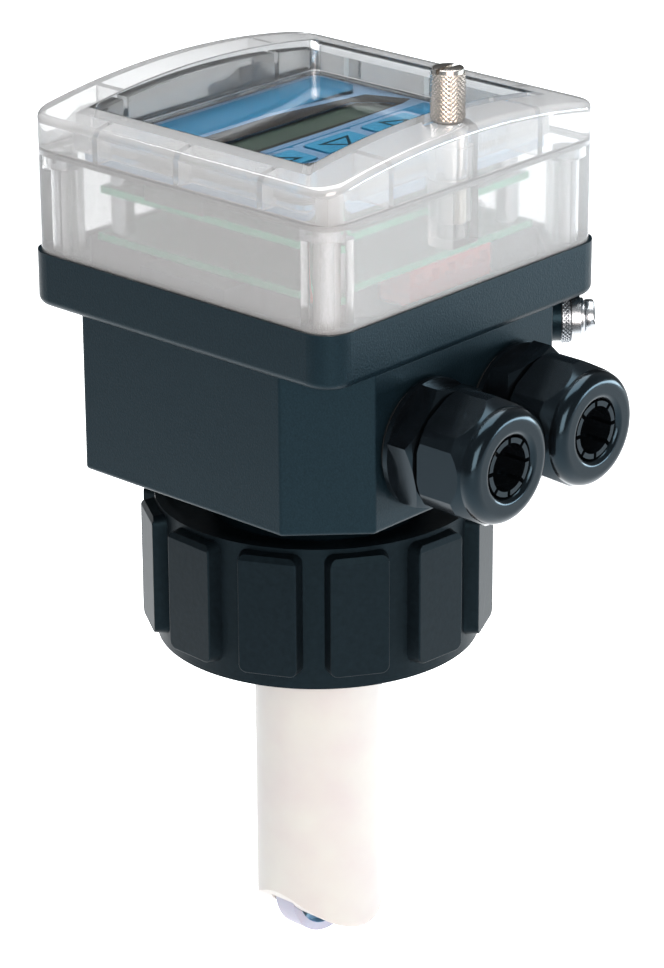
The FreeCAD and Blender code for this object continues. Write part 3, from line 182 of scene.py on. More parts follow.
def addNode(tree, kind, settings=None, links=None):
    node = tree.nodes.new(kind)
    for key, value in (settings or {}).items():
        if isinstance(key, int) or key in node.inputs:
            node.inputs[key].default_value = value
        else:
            setattr(node, key, value)
    for key, source in (links or {}).items():
        tree.links.new(source, node.inputs[key])
    return node


def newMaterial(name, settings):
    material = bpy.data.materials.new(name)
    material.use_nodes = True
    tree = material.node_tree
    shader = tree.nodes["Principled BSDF"]
    for key, value in settings.items():
        shader.inputs[key].default_value = value
    place = addNode(tree, "ShaderNodeTexCoord").outputs["Object"]
    return material, tree, shader, place


# Where on the noise's range the first tone ends and the second begins, and the noise's usual detail
grainRange = (0.3, 0.7)
grainDetail = 3.0


# Two tones mixed by a noise, with a bump of the same grain; grain and depth are in millimetres
def grainedMaterial(name, look, settings):
    material, tree, shader, place = newMaterial(name, settings)
    noise = addNode(tree, "ShaderNodeTexNoise",
                    {"Scale": 1 / (look["grain"] * mm), "Detail": look.get("detail", grainDetail)},
                    {"Vector": place})
    ramp = addNode(tree, "ShaderNodeValToRGB", links={"Fac": noise.outputs["Fac"]})
    for element, tone, position in zip(ramp.color_ramp.elements, look["tones"], grainRange):
        element.color = linear(tone)
        element.position = position
    relief = addNode(tree, "ShaderNodeBump", {"Strength": look["bump"], "Distance": look["depth"] * mm},
                     {"Height": noise.outputs["Fac"]})
    tree.links.new(ramp.outputs["Color"], shader.inputs["Base Color"])
    tree.links.new(relief.outputs["Normal"], shader.inputs["Normal"])
    return material


# Glass-filled polyamide, moulded in a spark-eroded tool: blue-black, a fine grain that scatters the shine
housingLook = {"tones": ("#0a1419", "#101d24"), "grain": 0.42, "bump": 0.7, "depth": 0.06}
housingPolyamide = grainedMaterial("polyamide_spark_eroded", housingLook, {
    "Roughness": 0.34, "IOR": 1.53, "Specular IOR Level": 0.22, "Specular Tint": linear("#9fd0e6")})

# The same polyamide from a smoother tool, dulled by hands: its shine is wide and soft
nutLook = {"tones": ("#070b0e", "#0c1216"), "grain": 1.2, "bump": 0.5, "depth": 0.06}
nutPolyamide = grainedMaterial("polyamide_smooth_tool", nutLook, {
    "Roughness": 0.46, "IOR": 1.53, "Specular IOR Level": 0.16, "Specular Tint": linear("#9fd0e6")})

# Unfilled polyamide of the glands: near black and glossy, with a slight moulding ripple
glandLook = {"tones": ("#07090b", "#0b0e11"), "grain": 4.0, "bump": 0.04, "depth": 0.05}
glandPolyamide = grainedMaterial("polyamide_gloss_moulded", glandLook, {
    "Roughness": 0.17, "IOR": 1.53, "Specular IOR Level": 0.4, "Specular Tint": linear("#a6cfe6")})

# Clear polycarbonate: the window's pane is polished and the rim keeps a light haze; the steep walls get a
# grey base colour, a painted shade
# walls and pane are half sizes from the window's middle, which is offset towards the hinge, in millimetres
# tones, roughness and clearness each go from the rim over the walls to the pane
lidLook = {"walls": (35.25, 31.50), "pane": (34.70, 30.95), "offset": 0.75,
           "tones": ("#ffffff", "#858788", "#ffffff"), "roughness": (0.05, 0.1, 0.02),
           "clearness": (0.76, 0.85, 1.0), "ripple": 9, "detail": 1.0, "bump": 0.05, "depth": 0.1}
lidPolycarbonate, tree, shader, place = newMaterial("polycarbonate_polished", {"IOR": 1.585})
windowMiddle = (0, lidLook["offset"] * mm, 0)
centred = addNode(tree, "ShaderNodeVectorMath", {"operation": "SUBTRACT", 1: windowMiddle}, {0: place})
axes = addNode(tree, "ShaderNodeSeparateXYZ", links={"Vector": centred.outputs["Vector"]})
zones = []
for halves in (lidLook["walls"], lidLook["pane"]):
    inside = []
    for axis, half in zip("XY", halves):
        away = addNode(tree, "ShaderNodeMath", {"operation": "ABSOLUTE"}, {0: axes.outputs[axis]})
        within = addNode(tree, "ShaderNodeMath", {"operation": "LESS_THAN", 1: half * mm},
                         {0: away.outputs[0]})
        inside.append(within.outputs[0])
    zone = addNode(tree, "ShaderNodeMath", {"operation": "MULTIPLY"}, {0: inside[0], 1: inside[1]})
    zones.append(zone.outputs[0])
depth = addNode(tree, "ShaderNodeMath", {"operation": "ADD"}, {0: zones[0], 1: zones[1]})
share = addNode(tree, "ShaderNodeMath", {"operation": "DIVIDE", 1: 2.0}, {0: depth.outputs[0]})
# The walls' grey in the base colour ramp is painted shade
zoneColours = {"Base Color": [linear(tone) for tone in lidLook["tones"]],
               "Roughness": [(level, level, level, 1) for level in lidLook["roughness"]],
               "Transmission Weight": [(level, level, level, 1) for level in lidLook["clearness"]]}
for socket, colours in zoneColours.items():
    ramp = addNode(tree, "ShaderNodeValToRGB", links={"Fac": share.outputs[0]})
    ramp.color_ramp.elements.new(0.5)  # the rim is at 0, the walls here and the pane at 1
    for element, colour in zip(ramp.color_ramp.elements, colours):
        element.color = colour
    tree.links.new(ramp.outputs["Color"], shader.inputs[socket])
ripple = addNode(tree, "ShaderNodeTexNoise",
                 {"Scale": 1 / (lidLook["ripple"] * mm), "Detail": lidLook["detail"]}, {"Vector": place})
relief = addNode(tree, "ShaderNodeBump", {"Strength": lidLook["bump"], "Distance": lidLook["depth"] * mm},
                 {"Height": ripple.outputs["Fac"]})
tree.links.new(relief.outputs["Normal"], shader.inputs["Normal"])

# The frame's polycarbonate has a frosted outside, so what is behind it goes soft and pale
frostLook = {"tones": ("#e6e6e6", "#ffffff"), "grain": 0.3, "bump": 0.25, "depth": 0.015, "detail": 2.0}
framePolycarbonate = grainedMaterial("polycarbonate_frosted", frostLook, {
    "Roughness": 0.07, "IOR": 1.585, "Transmission Weight": 0.74})

# Polyester foil, screen printed on its back: even colour under a light satin surface
foilTones = {"pale": ("#86a9cc", "#94b4d2"), "blue": ("#007cac", "#0486b4"), "dark": ("#403c38", "#47433f"),
             "teal": ("#3f9cc4", "#49a6ce"), "sign": ("#0c2630", "#10303b")}
foilGrain = {"grain": 0.5, "bump": 0.03, "depth": 0.01}
foilInks = {}
for inkName, tones in foilTones.items():
    foilInks[inkName] = grainedMaterial(f"polyester_print_{inkName}", {"tones": tones, **foilGrain}, {
        "Roughness": 0.45, "IOR": 1.57, "Specular IOR Level": 0.12})

# Display glass with its polariser: grey green with a faint pattern of dots behind it, dot in millimetres
displayLook = {"tones": ("#56645b", "#616f66"), "dot": 0.7}
displayGlass, tree, shader, place = newMaterial("display_glass", {
    "Roughness": 0.3, "IOR": 1.52, "Specular IOR Level": 0.12})
dots = addNode(tree, "ShaderNodeTexVoronoi", {"Scale": 1 / (displayLook["dot"] * mm)}, {"Vector": place})
ramp = addNode(tree, "ShaderNodeValToRGB", links={"Fac": dots.outputs["Distance"]})
for element, tone in zip(ramp.color_ramp.elements, displayLook["tones"]):
    element.color = linear(tone)
tree.links.new(ramp.outputs["Color"], shader.inputs["Base Color"])

# Fibreglass board: dark green solder mask with paler copper runs on its faces, bright laminate at its edges
# run is in millimetres, and edge goes from upright faces to level ones, where it adds nothing
boardLook = {"mask": ("#12533f", "#155c46"), "copper": "#2a8468", "copperShare": 0.06, "run": 6,
             "edge": ("#2fd39b", "#000000")}
boardFibreglass, tree, shader, place = newMaterial("fibreglass_solder_mask", {"Roughness": 0.35, "IOR": 1.55})
runs = addNode(tree, "ShaderNodeTexBrick", {
    "Scale": 1 / (boardLook["run"] * mm), "Color1": linear(boardLook["mask"][0]),
    "Color2": linear(boardLook["mask"][1]), "Mortar": linear(boardLook["copper"]),
    "Mortar Size": boardLook["copperShare"]}, {"Vector": place})
facing = addNode(tree, "ShaderNodeSeparateXYZ", links={"Vector": place.node.outputs["Normal"]})
flat = addNode(tree, "ShaderNodeMath", {"operation": "ABSOLUTE"}, {0: facing.outputs["Z"]})
edge = addNode(tree, "ShaderNodeValToRGB", links={"Fac": flat.outputs[0]})
for element, tone in zip(edge.color_ramp.elements, boardLook["edge"]):
    element.color = linear(tone)
face = addNode(tree, "ShaderNodeVectorMath", {"operation": "SCALE"},
               {0: runs.outputs["Color"], "Scale": flat.outputs[0]})
both = addNode(tree, "ShaderNodeVectorMath", {"operation": "ADD"},
               {0: edge.outputs["Color"], 1: face.outputs["Vector"]})
tree.links.new(both.outputs["Vector"], shader.inputs["Base Color"])

# Terminal housing, moulded polyamide in orange red
terminalLook = {"tones": ("#ff4416", "#ff5522"), "grain": 0.8, "bump": 0.08, "depth": 0.03}
terminalPolyamide = grainedMaterial("polyamide_orange", terminalLook, {"Roughness": 0.45, "IOR": 1.53})

# Nickel plate on brass: warm, bright grey with a faint mottle
nickelLook = {"tones": ("#cdc5bd", "#e6e0da"), "grain": 0.4, "bump": 0.05, "depth": 0.01}
knurlNickel = grainedMaterial("nickel_plate", nickelLook, {"Metallic": 1.0, "Roughness": 0.24})

# Stainless steel, turned: cool grey with a fine roughness that spreads the shine
steelLook = {"tones": ("#b9bcc0", "#d3d6d9"), "grain": 0.25, "bump": 0.06, "depth": 0.01}
turnedSteel = grainedMaterial("stainless_turned", steelLook, {"Metallic": 1.0, "Roughness": 0.27})

# Brass insert with a thin tin plate: pale, slightly yellow
brassLook = {"tones": ("#c2bdb0", "#d6d1c4"), "grain": 0.3, "bump": 0.06, "depth": 0.01}
insertBrass = grainedMaterial("brass_tin_plated", brassLook, {"Metallic": 1.0, "Roughness": 0.3})

# Nitrile rubber: black, matt, a little dusty
nitrileLook = {"tones": ("#131415", "#1c1d1e"), "grain": 0.5, "bump": 0.15, "depth": 0.03}
sealNitrile = grainedMaterial("nitrile_rubber", nitrileLook, {"Roughness": 0.7, "IOR": 1.52})

# Fluoropolymer of the stem: milky, light goes a few millimetres into it
stemLook = {"tones": ("#beb7b6", "#c2c0bb"), "grain": 12.0, "bump": 0.02, "depth": 0.02, "lightDepth": 2.0}
stemFluoropolymer = grainedMaterial("fluoropolymer_milky", stemLook, {
    "Roughness": 0.4, "IOR": 1.42, "Specular IOR Level": 0.2, "Subsurface Weight": 0.35,
    "Subsurface Scale": stemLook["lightDepth"] * mm, "Subsurface Radius": (1.0, 0.85, 0.75)})

# The wheel is moulded in the same polymer: its rim is milky, and its web and blades get a blue grey, a
# painted shade for the recess they lie in
# The tones meet at webRadius from the axle, over a width of fade, in millimetres
wheelLook = {"tones": ("#6d90ab", "#9d9dad"), "webRadius": 10.2, "fade": 0.1, "lightDepth": 1.0}
wheelFluoropolymer, tree, shader, place = newMaterial("fluoropolymer_wheel", {
    "Roughness": 0.34, "IOR": 1.42, "Subsurface Weight": 0.2,
    "Subsurface Scale": wheelLook["lightDepth"] * mm})
low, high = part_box("axle")
axleMiddle = (0, (low.z + high.z) / 2, 0)
axes = addNode(tree, "ShaderNodeSeparateXYZ", links={"Vector": place})
upright = addNode(tree, "ShaderNodeCombineXYZ", links={"X": axes.outputs["X"], "Y": axes.outputs["Z"]})
span = addNode(tree, "ShaderNodeVectorMath", {"operation": "DISTANCE", 1: axleMiddle},
               {0: upright.outputs["Vector"]})
tone = addNode(tree, "ShaderNodeMapRange", {
    "From Min": (wheelLook["webRadius"] - wheelLook["fade"]) * mm, "From Max": wheelLook["webRadius"] * mm},
    {"Value": span.outputs["Value"]})
# Painted shade: blue grey inside webRadius, the milky tone outside it
webShadeRamp = addNode(tree, "ShaderNodeValToRGB", links={"Fac": tone.outputs["Result"]})
for element, colour in zip(webShadeRamp.color_ramp.elements, wheelLook["tones"]):
    element.color = linear(colour)
tree.links.new(webShadeRamp.outputs["Color"], shader.inputs["Base Color"])

# Ground alumina of the axle and its bushes: ivory and smooth
ceramicLook = {"tones": ("#ebe6da", "#f2eee4"), "grain": 0.3, "bump": 0.04, "depth": 0.01}
axleCeramic = grainedMaterial("alumina_ground", ceramicLook, {"Roughness": 0.25, "IOR": 1.76})

# Cable sheath of soft vinyl: an even grey
vinylLook = {"tones": ("#55575a", "#606265"), "grain": 0.6, "bump": 0.06, "depth": 0.02}
cableVinyl = grainedMaterial("vinyl_sheath", vinylLook, {"Roughness": 0.5, "IOR": 1.53})

# Moulded epoxy of the switches: black, with a slight grain
epoxyLook = {"tones": ("#1a1b1d", "#232527"), "grain": 0.3, "bump": 0.1, "depth": 0.02}
chipEpoxy = grainedMaterial("epoxy_moulded", epoxyLook, {"Roughness": 0.5, "IOR": 1.55})

# What each CAD node that stays in view is made of
nodeFinish = {
    "lower_housing": housingPolyamide, "union_nut": nutPolyamide, "clear_frame": framePolycarbonate,
    "lid": lidPolycarbonate, "frame_gasket": sealNitrile, "lid_gasket": sealNitrile,
    "hinge_pins": turnedSteel, "screw_clip": turnedSteel, "screw_insert": insertBrass,
    "frame_screws": turnedSteel, "keypad_panel": foilInks["pale"], "lcd_module": displayGlass,
    "key_switches": chipEpoxy, "display_board": boardFibreglass, "main_board": boardFibreglass,
    "board_spacers": turnedSteel, "terminal_block": terminalPolyamide, "sensor_stem": stemFluoropolymer,
    "stem_clip": turnedSteel, "stem_oring": sealNitrile, "collar_oring": sealNitrile,
    "paddle_wheel": wheelFluoropolymer, "wheel_magnets": turnedSteel, "axle": axleCeramic,
    "bearings": axleCeramic, "sensor_board": boardFibreglass, "sensor_cable": cableVinyl,
    "earth_washer": turnedSteel, "key_left": foilInks["teal"], "key_middle": foilInks["teal"],
    "key_right": foilInks["teal"],
}
for side in ("left", "right"):
    for part in ("body", "locknut", "nut", "clamp"):
        nodeFinish[f"{side}_gland_{part}"] = glandPolyamide
    for part in ("ring", "seal"):
        nodeFinish[f"{side}_gland_{part}"] = sealNitrile
for nodeName, material in nodeFinish.items():
    nodes[nodeName].data.materials.clear()
    nodes[nodeName].data.materials.append(material)
print("materials on", len(nodeFinish), "nodes")


# Shapes that more than one piece is made of, with sizes in millimetres

# A block to cut with, its centre in metres
def block(name, centre, size):
    nothingSelected()
    bpy.ops.mesh.primitive_cube_add(size=1, location=centre)
    piece = startPiece(name)
    bpy.ops.transform.resize(value=(size[0] * mm, size[1] * mm, size[2] * mm))
    return endPiece(piece, 0)


# Steps of a full turn in barrels and threads, the cuts in a bevel, how tall a thread's profile is as a share
# of its pitch, and how far a core stays inside its knurl
turning = {"sides": 64, "bevelCuts": 2, "threadShare": 0.42, "coreGap": 0.02}


# A sleeve of diamond points on a cylinder that stands on z = 0
def knurlSleeve(name, radius, height, pitch, depth):
    around = 2 * round(math.tau * radius / pitch)
    rows = 2 * round(height / pitch) - 1
    nothingSelected()
    bpy.ops.mesh.primitive_cylinder_add(vertices=around, radius=radius * mm, depth=height * mm,
                                        end_fill_type="NOTHING", location=(0, 0, height / 2 * mm))
    piece = startPiece(name)
    pick(piece, rises, "EDGE")
    bpy.ops.mesh.subdivide(number_cuts=rows)
    bpy.ops.mesh.select_all(action="SELECT")
    bpy.ops.mesh.unsubdivide(iterations=1)  # leaves the diamonds between the rows
    bpy.ops.mesh.select_all(action="SELECT")
    bpy.ops.mesh.poke(offset=depth * mm)
    bpy.ops.mesh.select_mode(type="EDGE")
    bpy.ops.mesh.select_all(action="DESELECT")
    bpy.ops.mesh.select_non_manifold()
    bpy.ops.mesh.bridge_edge_loops()  # closes the two open ends with an inner wall
    facesOutward()
    return endPiece(piece, 0)


# A turned barrel on z = 0 with bevelled rims and a bore or none
def turnedBarrel(name, radius, height, rim, bore=0):
    nothingSelected()
    bpy.ops.mesh.primitive_cylinder_add(vertices=turning["sides"], radius=radius * mm, depth=height * mm,
                                        location=(0, 0, height / 2 * mm))
    piece = startPiece(name)
    if bore:
        pick(piece, liesLevel)
        bpy.ops.mesh.inset(thickness=(radius - bore) * mm)
        bpy.ops.mesh.bridge_edge_loops()
    pick(piece, liesLevel)
    bpy.ops.mesh.region_to_loop()
    bpy.ops.mesh.bevel(offset=rim * mm, segments=turning["bevelCuts"])
    return endPiece(piece)


# A turned head on z = 0 with a slot in its top, given by its sizes along X and Y and its depth
def slottedHead(name, radius, height, rim, slot):
    head = turnedBarrel(name, radius, height, rim)
    cutThrough(head, block("slot_cutter", (0, 0, height * mm), (slot[0], slot[1], 2 * slot[2])))
    return head


# A thread ridge from z = 0: a three-sided profile that points outwards (1) or inwards (-1), swept on a helix
def threadRidge(name, radius, tall, pitch, turns, starts, point):
    nothingSelected()
    bpy.ops.mesh.primitive_circle_add(vertices=3, radius=1, location=(radius * mm, 0, 0),
                                      rotation=(math.radians(90), math.radians(90 * point), 0))
    piece = startPiece(name)
    bpy.ops.transform.resize(value=(tall * mm, 1, turning["threadShare"] * pitch * mm),
                             center_override=(radius * mm, 0, 0))
    endPiece(piece, 0)
    applyModifier(piece, "SCREW", axis="Z", angle=math.tau, screw_offset=pitch * starts * mm,
                  steps=turning["sides"], render_steps=turning["sides"],
                  iterations=max(1, round(turns / starts)),
                  use_merge_vertices=True, use_normal_calculate=True)
    openAll(piece)
    bpy.ops.mesh.fill_holes(sides=4)  # closes the ridge's two ends
    facesOutward()
    bpy.ops.object.mode_set(mode="OBJECT")
    return piece


# Lid screw: knurled head with a slot, on a threaded shank that the clip holds
# The knurl leaves plainFoot and plainTop bare, and the shank overlaps the head
screwSize = {"knurlPitch": 1.0, "knurlDepth": 0.4, "plainFoot": 0.6, "plainTop": 1.0, "rim": 0.35,
             "slot": (20, 1.0, 1.4), "shank": 1.5, "shankRim": 0.3, "overlap": 0.5,
             "thread": 1.56, "threadTall": 0.28, "pitch": 0.7, "turns": 8, "starts": 2, "threadStart": 0.4}
low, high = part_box("lid_screw")
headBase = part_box("lid")[1].z
screwFoot = ((low.x + high.x) / 2, (low.y + high.y) / 2, headBase)
headRadius = (high.x - low.x) / 2 / mm
headHeight = (high.z - headBase) / mm
knurlFoot = headRadius - screwSize["knurlDepth"]
core = slottedHead("screw_core", knurlFoot - turning["coreGap"], headHeight, screwSize["rim"],
                   screwSize["slot"])
sleeve = knurlSleeve("screw_knurl", knurlFoot, headHeight - screwSize["plainFoot"] - screwSize["plainTop"],
                     screwSize["knurlPitch"], screwSize["knurlDepth"])
shiftMesh(sleeve, (0, 0, screwSize["plainFoot"] * mm))
shankLength = (headBase - low.z) / mm
shank = turnedBarrel("screw_shank", screwSize["shank"], shankLength + screwSize["overlap"],
                     screwSize["shankRim"])
shiftMesh(shank, (0, 0, -shankLength * mm))
ridge = threadRidge("screw_thread", screwSize["thread"], screwSize["threadTall"], screwSize["pitch"],
                    screwSize["turns"], screwSize["starts"], 1)
shiftMesh(ridge, (0, 0, (screwSize["threadStart"] - shankLength) * mm))
lidScrew = joined("knurled_screw", [core, sleeve, shank, ridge])
shiftMesh(lidScrew, screwFoot)
dress(lidScrew, knurlNickel, "lid_screw", "knurled_nickel", "lid_screw")
print("lid screw", len(lidScrew.data.polygons), "faces")

# Earth terminal on an axis that points out of the front right corner
outward = Vector((1, -1, 0)).normalized()
cornerTurn = math.degrees(math.atan2(outward.y, outward.x))


# Radius, thickness and the middle of the inner face of a round node on that axis
def cornerPlace(node):
    low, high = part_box(node)
    radius = (high.z - low.z) / 2
    thick = (high.x - low.x) / outward.x - 2 * radius
    return radius / mm, thick / mm, (low + high) / 2 - outward * thick / 2


# Turns a piece that stands on z = 0 onto that axis
def ontoCorner(piece, spot):
    turnMesh(piece, 90, "Y")
    turnMesh(piece, cornerTurn, "Z")
    shiftMesh(piece, spot)


# Earth nut: a knurled ring with plain rims
earthNutSize = {"knurlPitch": 1.0, "knurlDepth": 0.3, "rim": 0.25, "bore": 1.8}
nutRadius, nutHeight, nutSpot = cornerPlace("earth_nut")
knurlFoot = nutRadius - earthNutSize["knurlDepth"]
ring = turnedBarrel("earth_ring", knurlFoot - turning["coreGap"], nutHeight, earthNutSize["rim"],
                    earthNutSize["bore"])
sleeve = knurlSleeve("earth_knurl", knurlFoot, nutHeight - 2 * earthNutSize["rim"],
                     earthNutSize["knurlPitch"], earthNutSize["knurlDepth"])
shiftMesh(sleeve, (0, 0, earthNutSize["rim"] * mm))
earthNut = joined("knurled_earth_nut", [ring, sleeve])
ontoCorner(earthNut, nutSpot)
dress(earthNut, turnedSteel, "housing", "bright_steel", "earth_nut")

# Spring washer: a bar with soft edges swept nearly round, split in degrees, its ends apart by the lift
washerSize = {"bore": 1.8, "split": 14, "lift": 0.25, "edge": 0.12, "steps": 48}
outer, thick, washerSpot = cornerPlace("earth_spring_washer")
wide = outer - washerSize["bore"]
tall = thick - washerSize["lift"]
nothingSelected()
bpy.ops.mesh.primitive_plane_add(size=1, location=((outer - wide / 2) * mm, 0, tall / 2 * mm),
                                 rotation=(math.radians(90), 0, 0))
springWasher = startPiece("split_washer")
bpy.ops.transform.resize(value=(wide * mm, 1, tall * mm))
bpy.ops.mesh.bevel(offset=washerSize["edge"] * mm, segments=turning["bevelCuts"], affect="VERTICES")
endPiece(springWasher, 0)
applyModifier(springWasher, "SCREW", axis="Z", angle=math.radians(360 - washerSize["split"]),
              steps=washerSize["steps"], render_steps=washerSize["steps"],
              screw_offset=washerSize["lift"] * mm, use_normal_calculate=True)
openAll(springWasher)
bpy.ops.mesh.remove_doubles(threshold=tiny)
bpy.ops.mesh.fill_holes(sides=0)  # closes the bar's two ends
facesOutward()
endPiece(springWasher)
ontoCorner(springWasher, washerSpot)
dress(springWasher, turnedSteel, "housing", "bright_steel", "earth_spring_washer")

# Earth screw: a slotted cheese head on a shank that reaches down to the nut
earthScrewSize = {"height": 2.3, "round": 0.5, "slot": (1.0, 20, 1.1), "shank": 1.65, "shankRim": 0.2,
                  "overlap": 0.3}
low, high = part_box("earth_screw")
headRadius = (high.z - low.z) / 2 / mm
head = slottedHead("earth_head", headRadius, earthScrewSize["height"], earthScrewSize["round"],
                   earthScrewSize["slot"])
reach = (washerSpot - nutSpot).dot(outward) / mm + thick
shank = turnedBarrel("earth_shank", earthScrewSize["shank"], reach + earthScrewSize["overlap"],
                     earthScrewSize["shankRim"])
shiftMesh(shank, (0, 0, -reach * mm))
earthScrew = joined("slotted_earth_screw", [head, shank])
ontoCorner(earthScrew, washerSpot + outward * thick * mm)
dress(earthScrew, turnedSteel, "housing", "bright_steel", "earth_screw")
print("earth terminal done")

# Union nut's thread, a ridge on the wall of its bore whose profile has its middle a little off the wall
threadSize = {"bore": 28.4, "standOff": 0.1, "tall": 0.3, "pitch": 2.3, "turns": 7, "start": -18.4}
nutThread = threadRidge("union_thread", threadSize["bore"] - threadSize["standOff"], threadSize["tall"],
                        threadSize["pitch"], threadSize["turns"], 1, -1)
shiftMesh(nutThread, (0, 0, threadSize["start"] * mm))
dress(nutThread, nutPolyamide, "union_nut", "black_housing")
print("union thread", len(nutThread.data.polygons), "faces")


# Gives the flat sheet in edit mode its thickness and finishes it
def thickened(piece, thick):
    bpy.ops.mesh.select_all(action="SELECT")
    bpy.ops.mesh.extrude_region_move(TRANSFORM_OT_translate={"value": (0, 0, thick * mm)})
    facesOutward()
    return endPiece(piece, 0)


# A strip of foil drawn from left to right through stations of (across, front, back), made a thin sheet
def foilStrip(name, stations, level, thick):
    left, front, back = stations[0]
    right = stations[1][0]
    margin = 0.01  # how near a corner is to the strip's right end, to be taken as on it
    nothingSelected()
    start = ((left + right) / 2 * mm, (front + back) / 2 * mm, level)
    bpy.ops.mesh.primitive_plane_add(size=1, location=start)
    piece = startPiece(name)
    bpy.ops.transform.resize(value=((right - left) * mm, (back - front) * mm, 1))
    endPiece(piece, 0)
    openAll(piece)
    for across, nextFront, nextBack in stations[2:]:
        pick(piece, lambda spot, along: spot.x > (right - margin) * mm, "EDGE")
        bpy.ops.mesh.extrude_region_move(TRANSFORM_OT_translate={"value": ((across - right) * mm, 0, 0)})
        right = across
        middle = (front + back) / 2 * mm
        pick(piece, lambda spot, normal: spot.x > (right - margin) * mm and spot.y < middle, "VERT")
        bpy.ops.transform.translate(value=(0, (nextFront - front) * mm, 0))
        pick(piece, lambda spot, normal: spot.x > (right - margin) * mm and spot.y >= middle, "VERT")
        bpy.ops.transform.translate(value=(0, (nextBack - back) * mm, 0))
        front, back = nextFront, nextBack
    return thickened(piece, thick)


# A block with rounded upright corners, to cut openings with
def roundedBlock(name, centre, size, corner, cuts=5):
    piece = block(name, centre, size)
    openAll(piece)
    pick(piece, rises, "EDGE")
    bpy.ops.mesh.bevel(offset=corner * mm, segments=cuts)
    return endPiece(piece, 0)


# A triangle drawn as an outline, pointing along -Y before it is turned
def outlinedTriangle(name, wide, tall, line, level, thick):
    unitWide = math.sqrt(3)  # width and height of a triangle in a circle of radius one
    unitTall = 1.5
    nothingSelected()
    bpy.ops.mesh.primitive_circle_add(vertices=3, radius=1, fill_type="NGON", location=(0, 0, level),
                                      rotation=(0, 0, math.radians(180)))
    piece = startPiece(name)
    bpy.ops.transform.resize(value=(wide / unitWide * mm, tall / unitTall * mm, 1),
                             center_override=(0, 0, level))
    endPiece(piece, 0)
    openAll(piece)
    bpy.ops.mesh.inset(thickness=line * mm)
    bpy.ops.mesh.delete(type="FACE")
    return thickened(piece, thick)


# The display's print on the panel: header band, lens with its dark surround, and key field
# Each outline is a row of stations, openings are cut from cutBelow under the panel's top, cutTall high
printSize = {"header": [(-34.5, 19.0, 31.0), (6.5, 19.0, 31.0), (29.4, 15.5, 31.0), (34.5, 20.2, 31.0)],
             "lens": [(-34.6, 0.2, 17.9), (34.6, 0.2, 17.9)],
             "surround": [(-34.5, 1.2, 17.2), (6.0, 1.2, 17.2), (30.6, 2.3, 13.0), (34.4, 3.2, 3.6)],
             "glass": [(-31.5, 2.4, 11.3), (24.0, 2.4, 11.3), (29.8, 3.2, 4.4)],
             "field": [(-34.5, -30.5, -0.6), (34.5, -30.5, -0.6)],
             "thick": 0.05, "cutBelow": 1.0, "cutTall": 3.0, "keyRing": 1.2, "keyCorner": 1.6,
             "signLine": 0.7}
# Width and height of each key's triangle, and its turn in degrees
signSize = {"key_left": (9.4, 5.4, 180), "key_middle": (9.4, 5.4, 0), "key_right": (6.8, 6.0, 90)}
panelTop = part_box("keypad_panel")[1].z
thick = printSize["thick"]
header = foilStrip("print_header", printSize["header"], panelTop, thick)
dress(header, foilInks["blue"], "housing", "display_blue")
lens = foilStrip("print_lens", printSize["lens"], panelTop, thick)
surround = foilStrip("print_surround", printSize["surround"], panelTop + thick * mm, thick)
for piece, ink in ((lens, "pale"), (surround, "dark")):
    cutFoot = panelTop - printSize["cutBelow"] * mm
    cutThrough(piece, foilStrip("glass_opening", printSize["glass"], cutFoot, printSize["cutTall"]))
    dress(piece, foilInks[ink], "housing", "display_blue")
field = foilStrip("print_field", printSize["field"], panelTop, thick)
for key, (wide, tall, turn) in signSize.items():
    low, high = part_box(key)
    centre = (low + high) / 2
    openWide = (high.x - low.x) / mm + 2 * printSize["keyRing"]
    openLong = (high.y - low.y) / mm + 2 * printSize["keyRing"]
    opening = roundedBlock("key_opening", (centre.x, centre.y, panelTop),
                           (openWide, openLong, printSize["cutTall"]), printSize["keyCorner"])
    cutThrough(field, opening)
    sign = outlinedTriangle(f"{key}_sign", wide, tall, printSize["signLine"], high.z, thick)
    turnMesh(sign, turn, "Z")
    shiftMesh(sign, (centre.x, centre.y, 0))
    dress(sign, foilInks["sign"], key, "key_teal")
dress(field, foilInks["blue"], "housing", "display_blue")
print("display print done")

# Camera at the photograph's angle, in degrees and metres, with the lens and sensor in millimetres
shot = {"azimuth": -47.652, "elevation": 22.006, "distance": 0.847057, "aimUp": 0.013735,
        "aimRight": 0.003211, "roll": -0.311, "lens": 143.275, "sensor": 36, "shiftUp": -0.0028,
        "nearest": 0.01}
turn = math.radians(shot["azimuth"])
rise = math.radians(shot["elevation"])
back = Vector((math.sin(turn) * math.cos(rise), -math.cos(turn) * math.cos(rise), math.sin(rise)))
right = Vector((math.cos(turn), math.sin(turn), 0))
up = back.cross(right)
roll = math.radians(shot["roll"])
across = right * math.cos(roll) + up * math.sin(roll)
upward = up * math.cos(roll) - right * math.sin(roll)
eye = Vector((0, 0, shot["aimUp"])) + right * shot["aimRight"] + back * shot["distance"]
cameraData = bpy.data.cameras.new("photo_camera")
cameraData.lens = shot["lens"]
cameraData.sensor_width = shot["sensor"]
cameraData.shift_y = shot["shiftUp"]
cameraData.clip_start = shot["nearest"]
camera = bpy.data.objects.new("photo_camera", cameraData)
camera.matrix_world = Matrix.Translation(eye) @ Matrix((across, upward, back)).transposed().to_4x4()
bpy.context.scene.collection.objects.link(camera)
bpy.context.scene.camera = camera
bpy.context.scene.view_settings.view_transform = "Standard"
print("camera set")
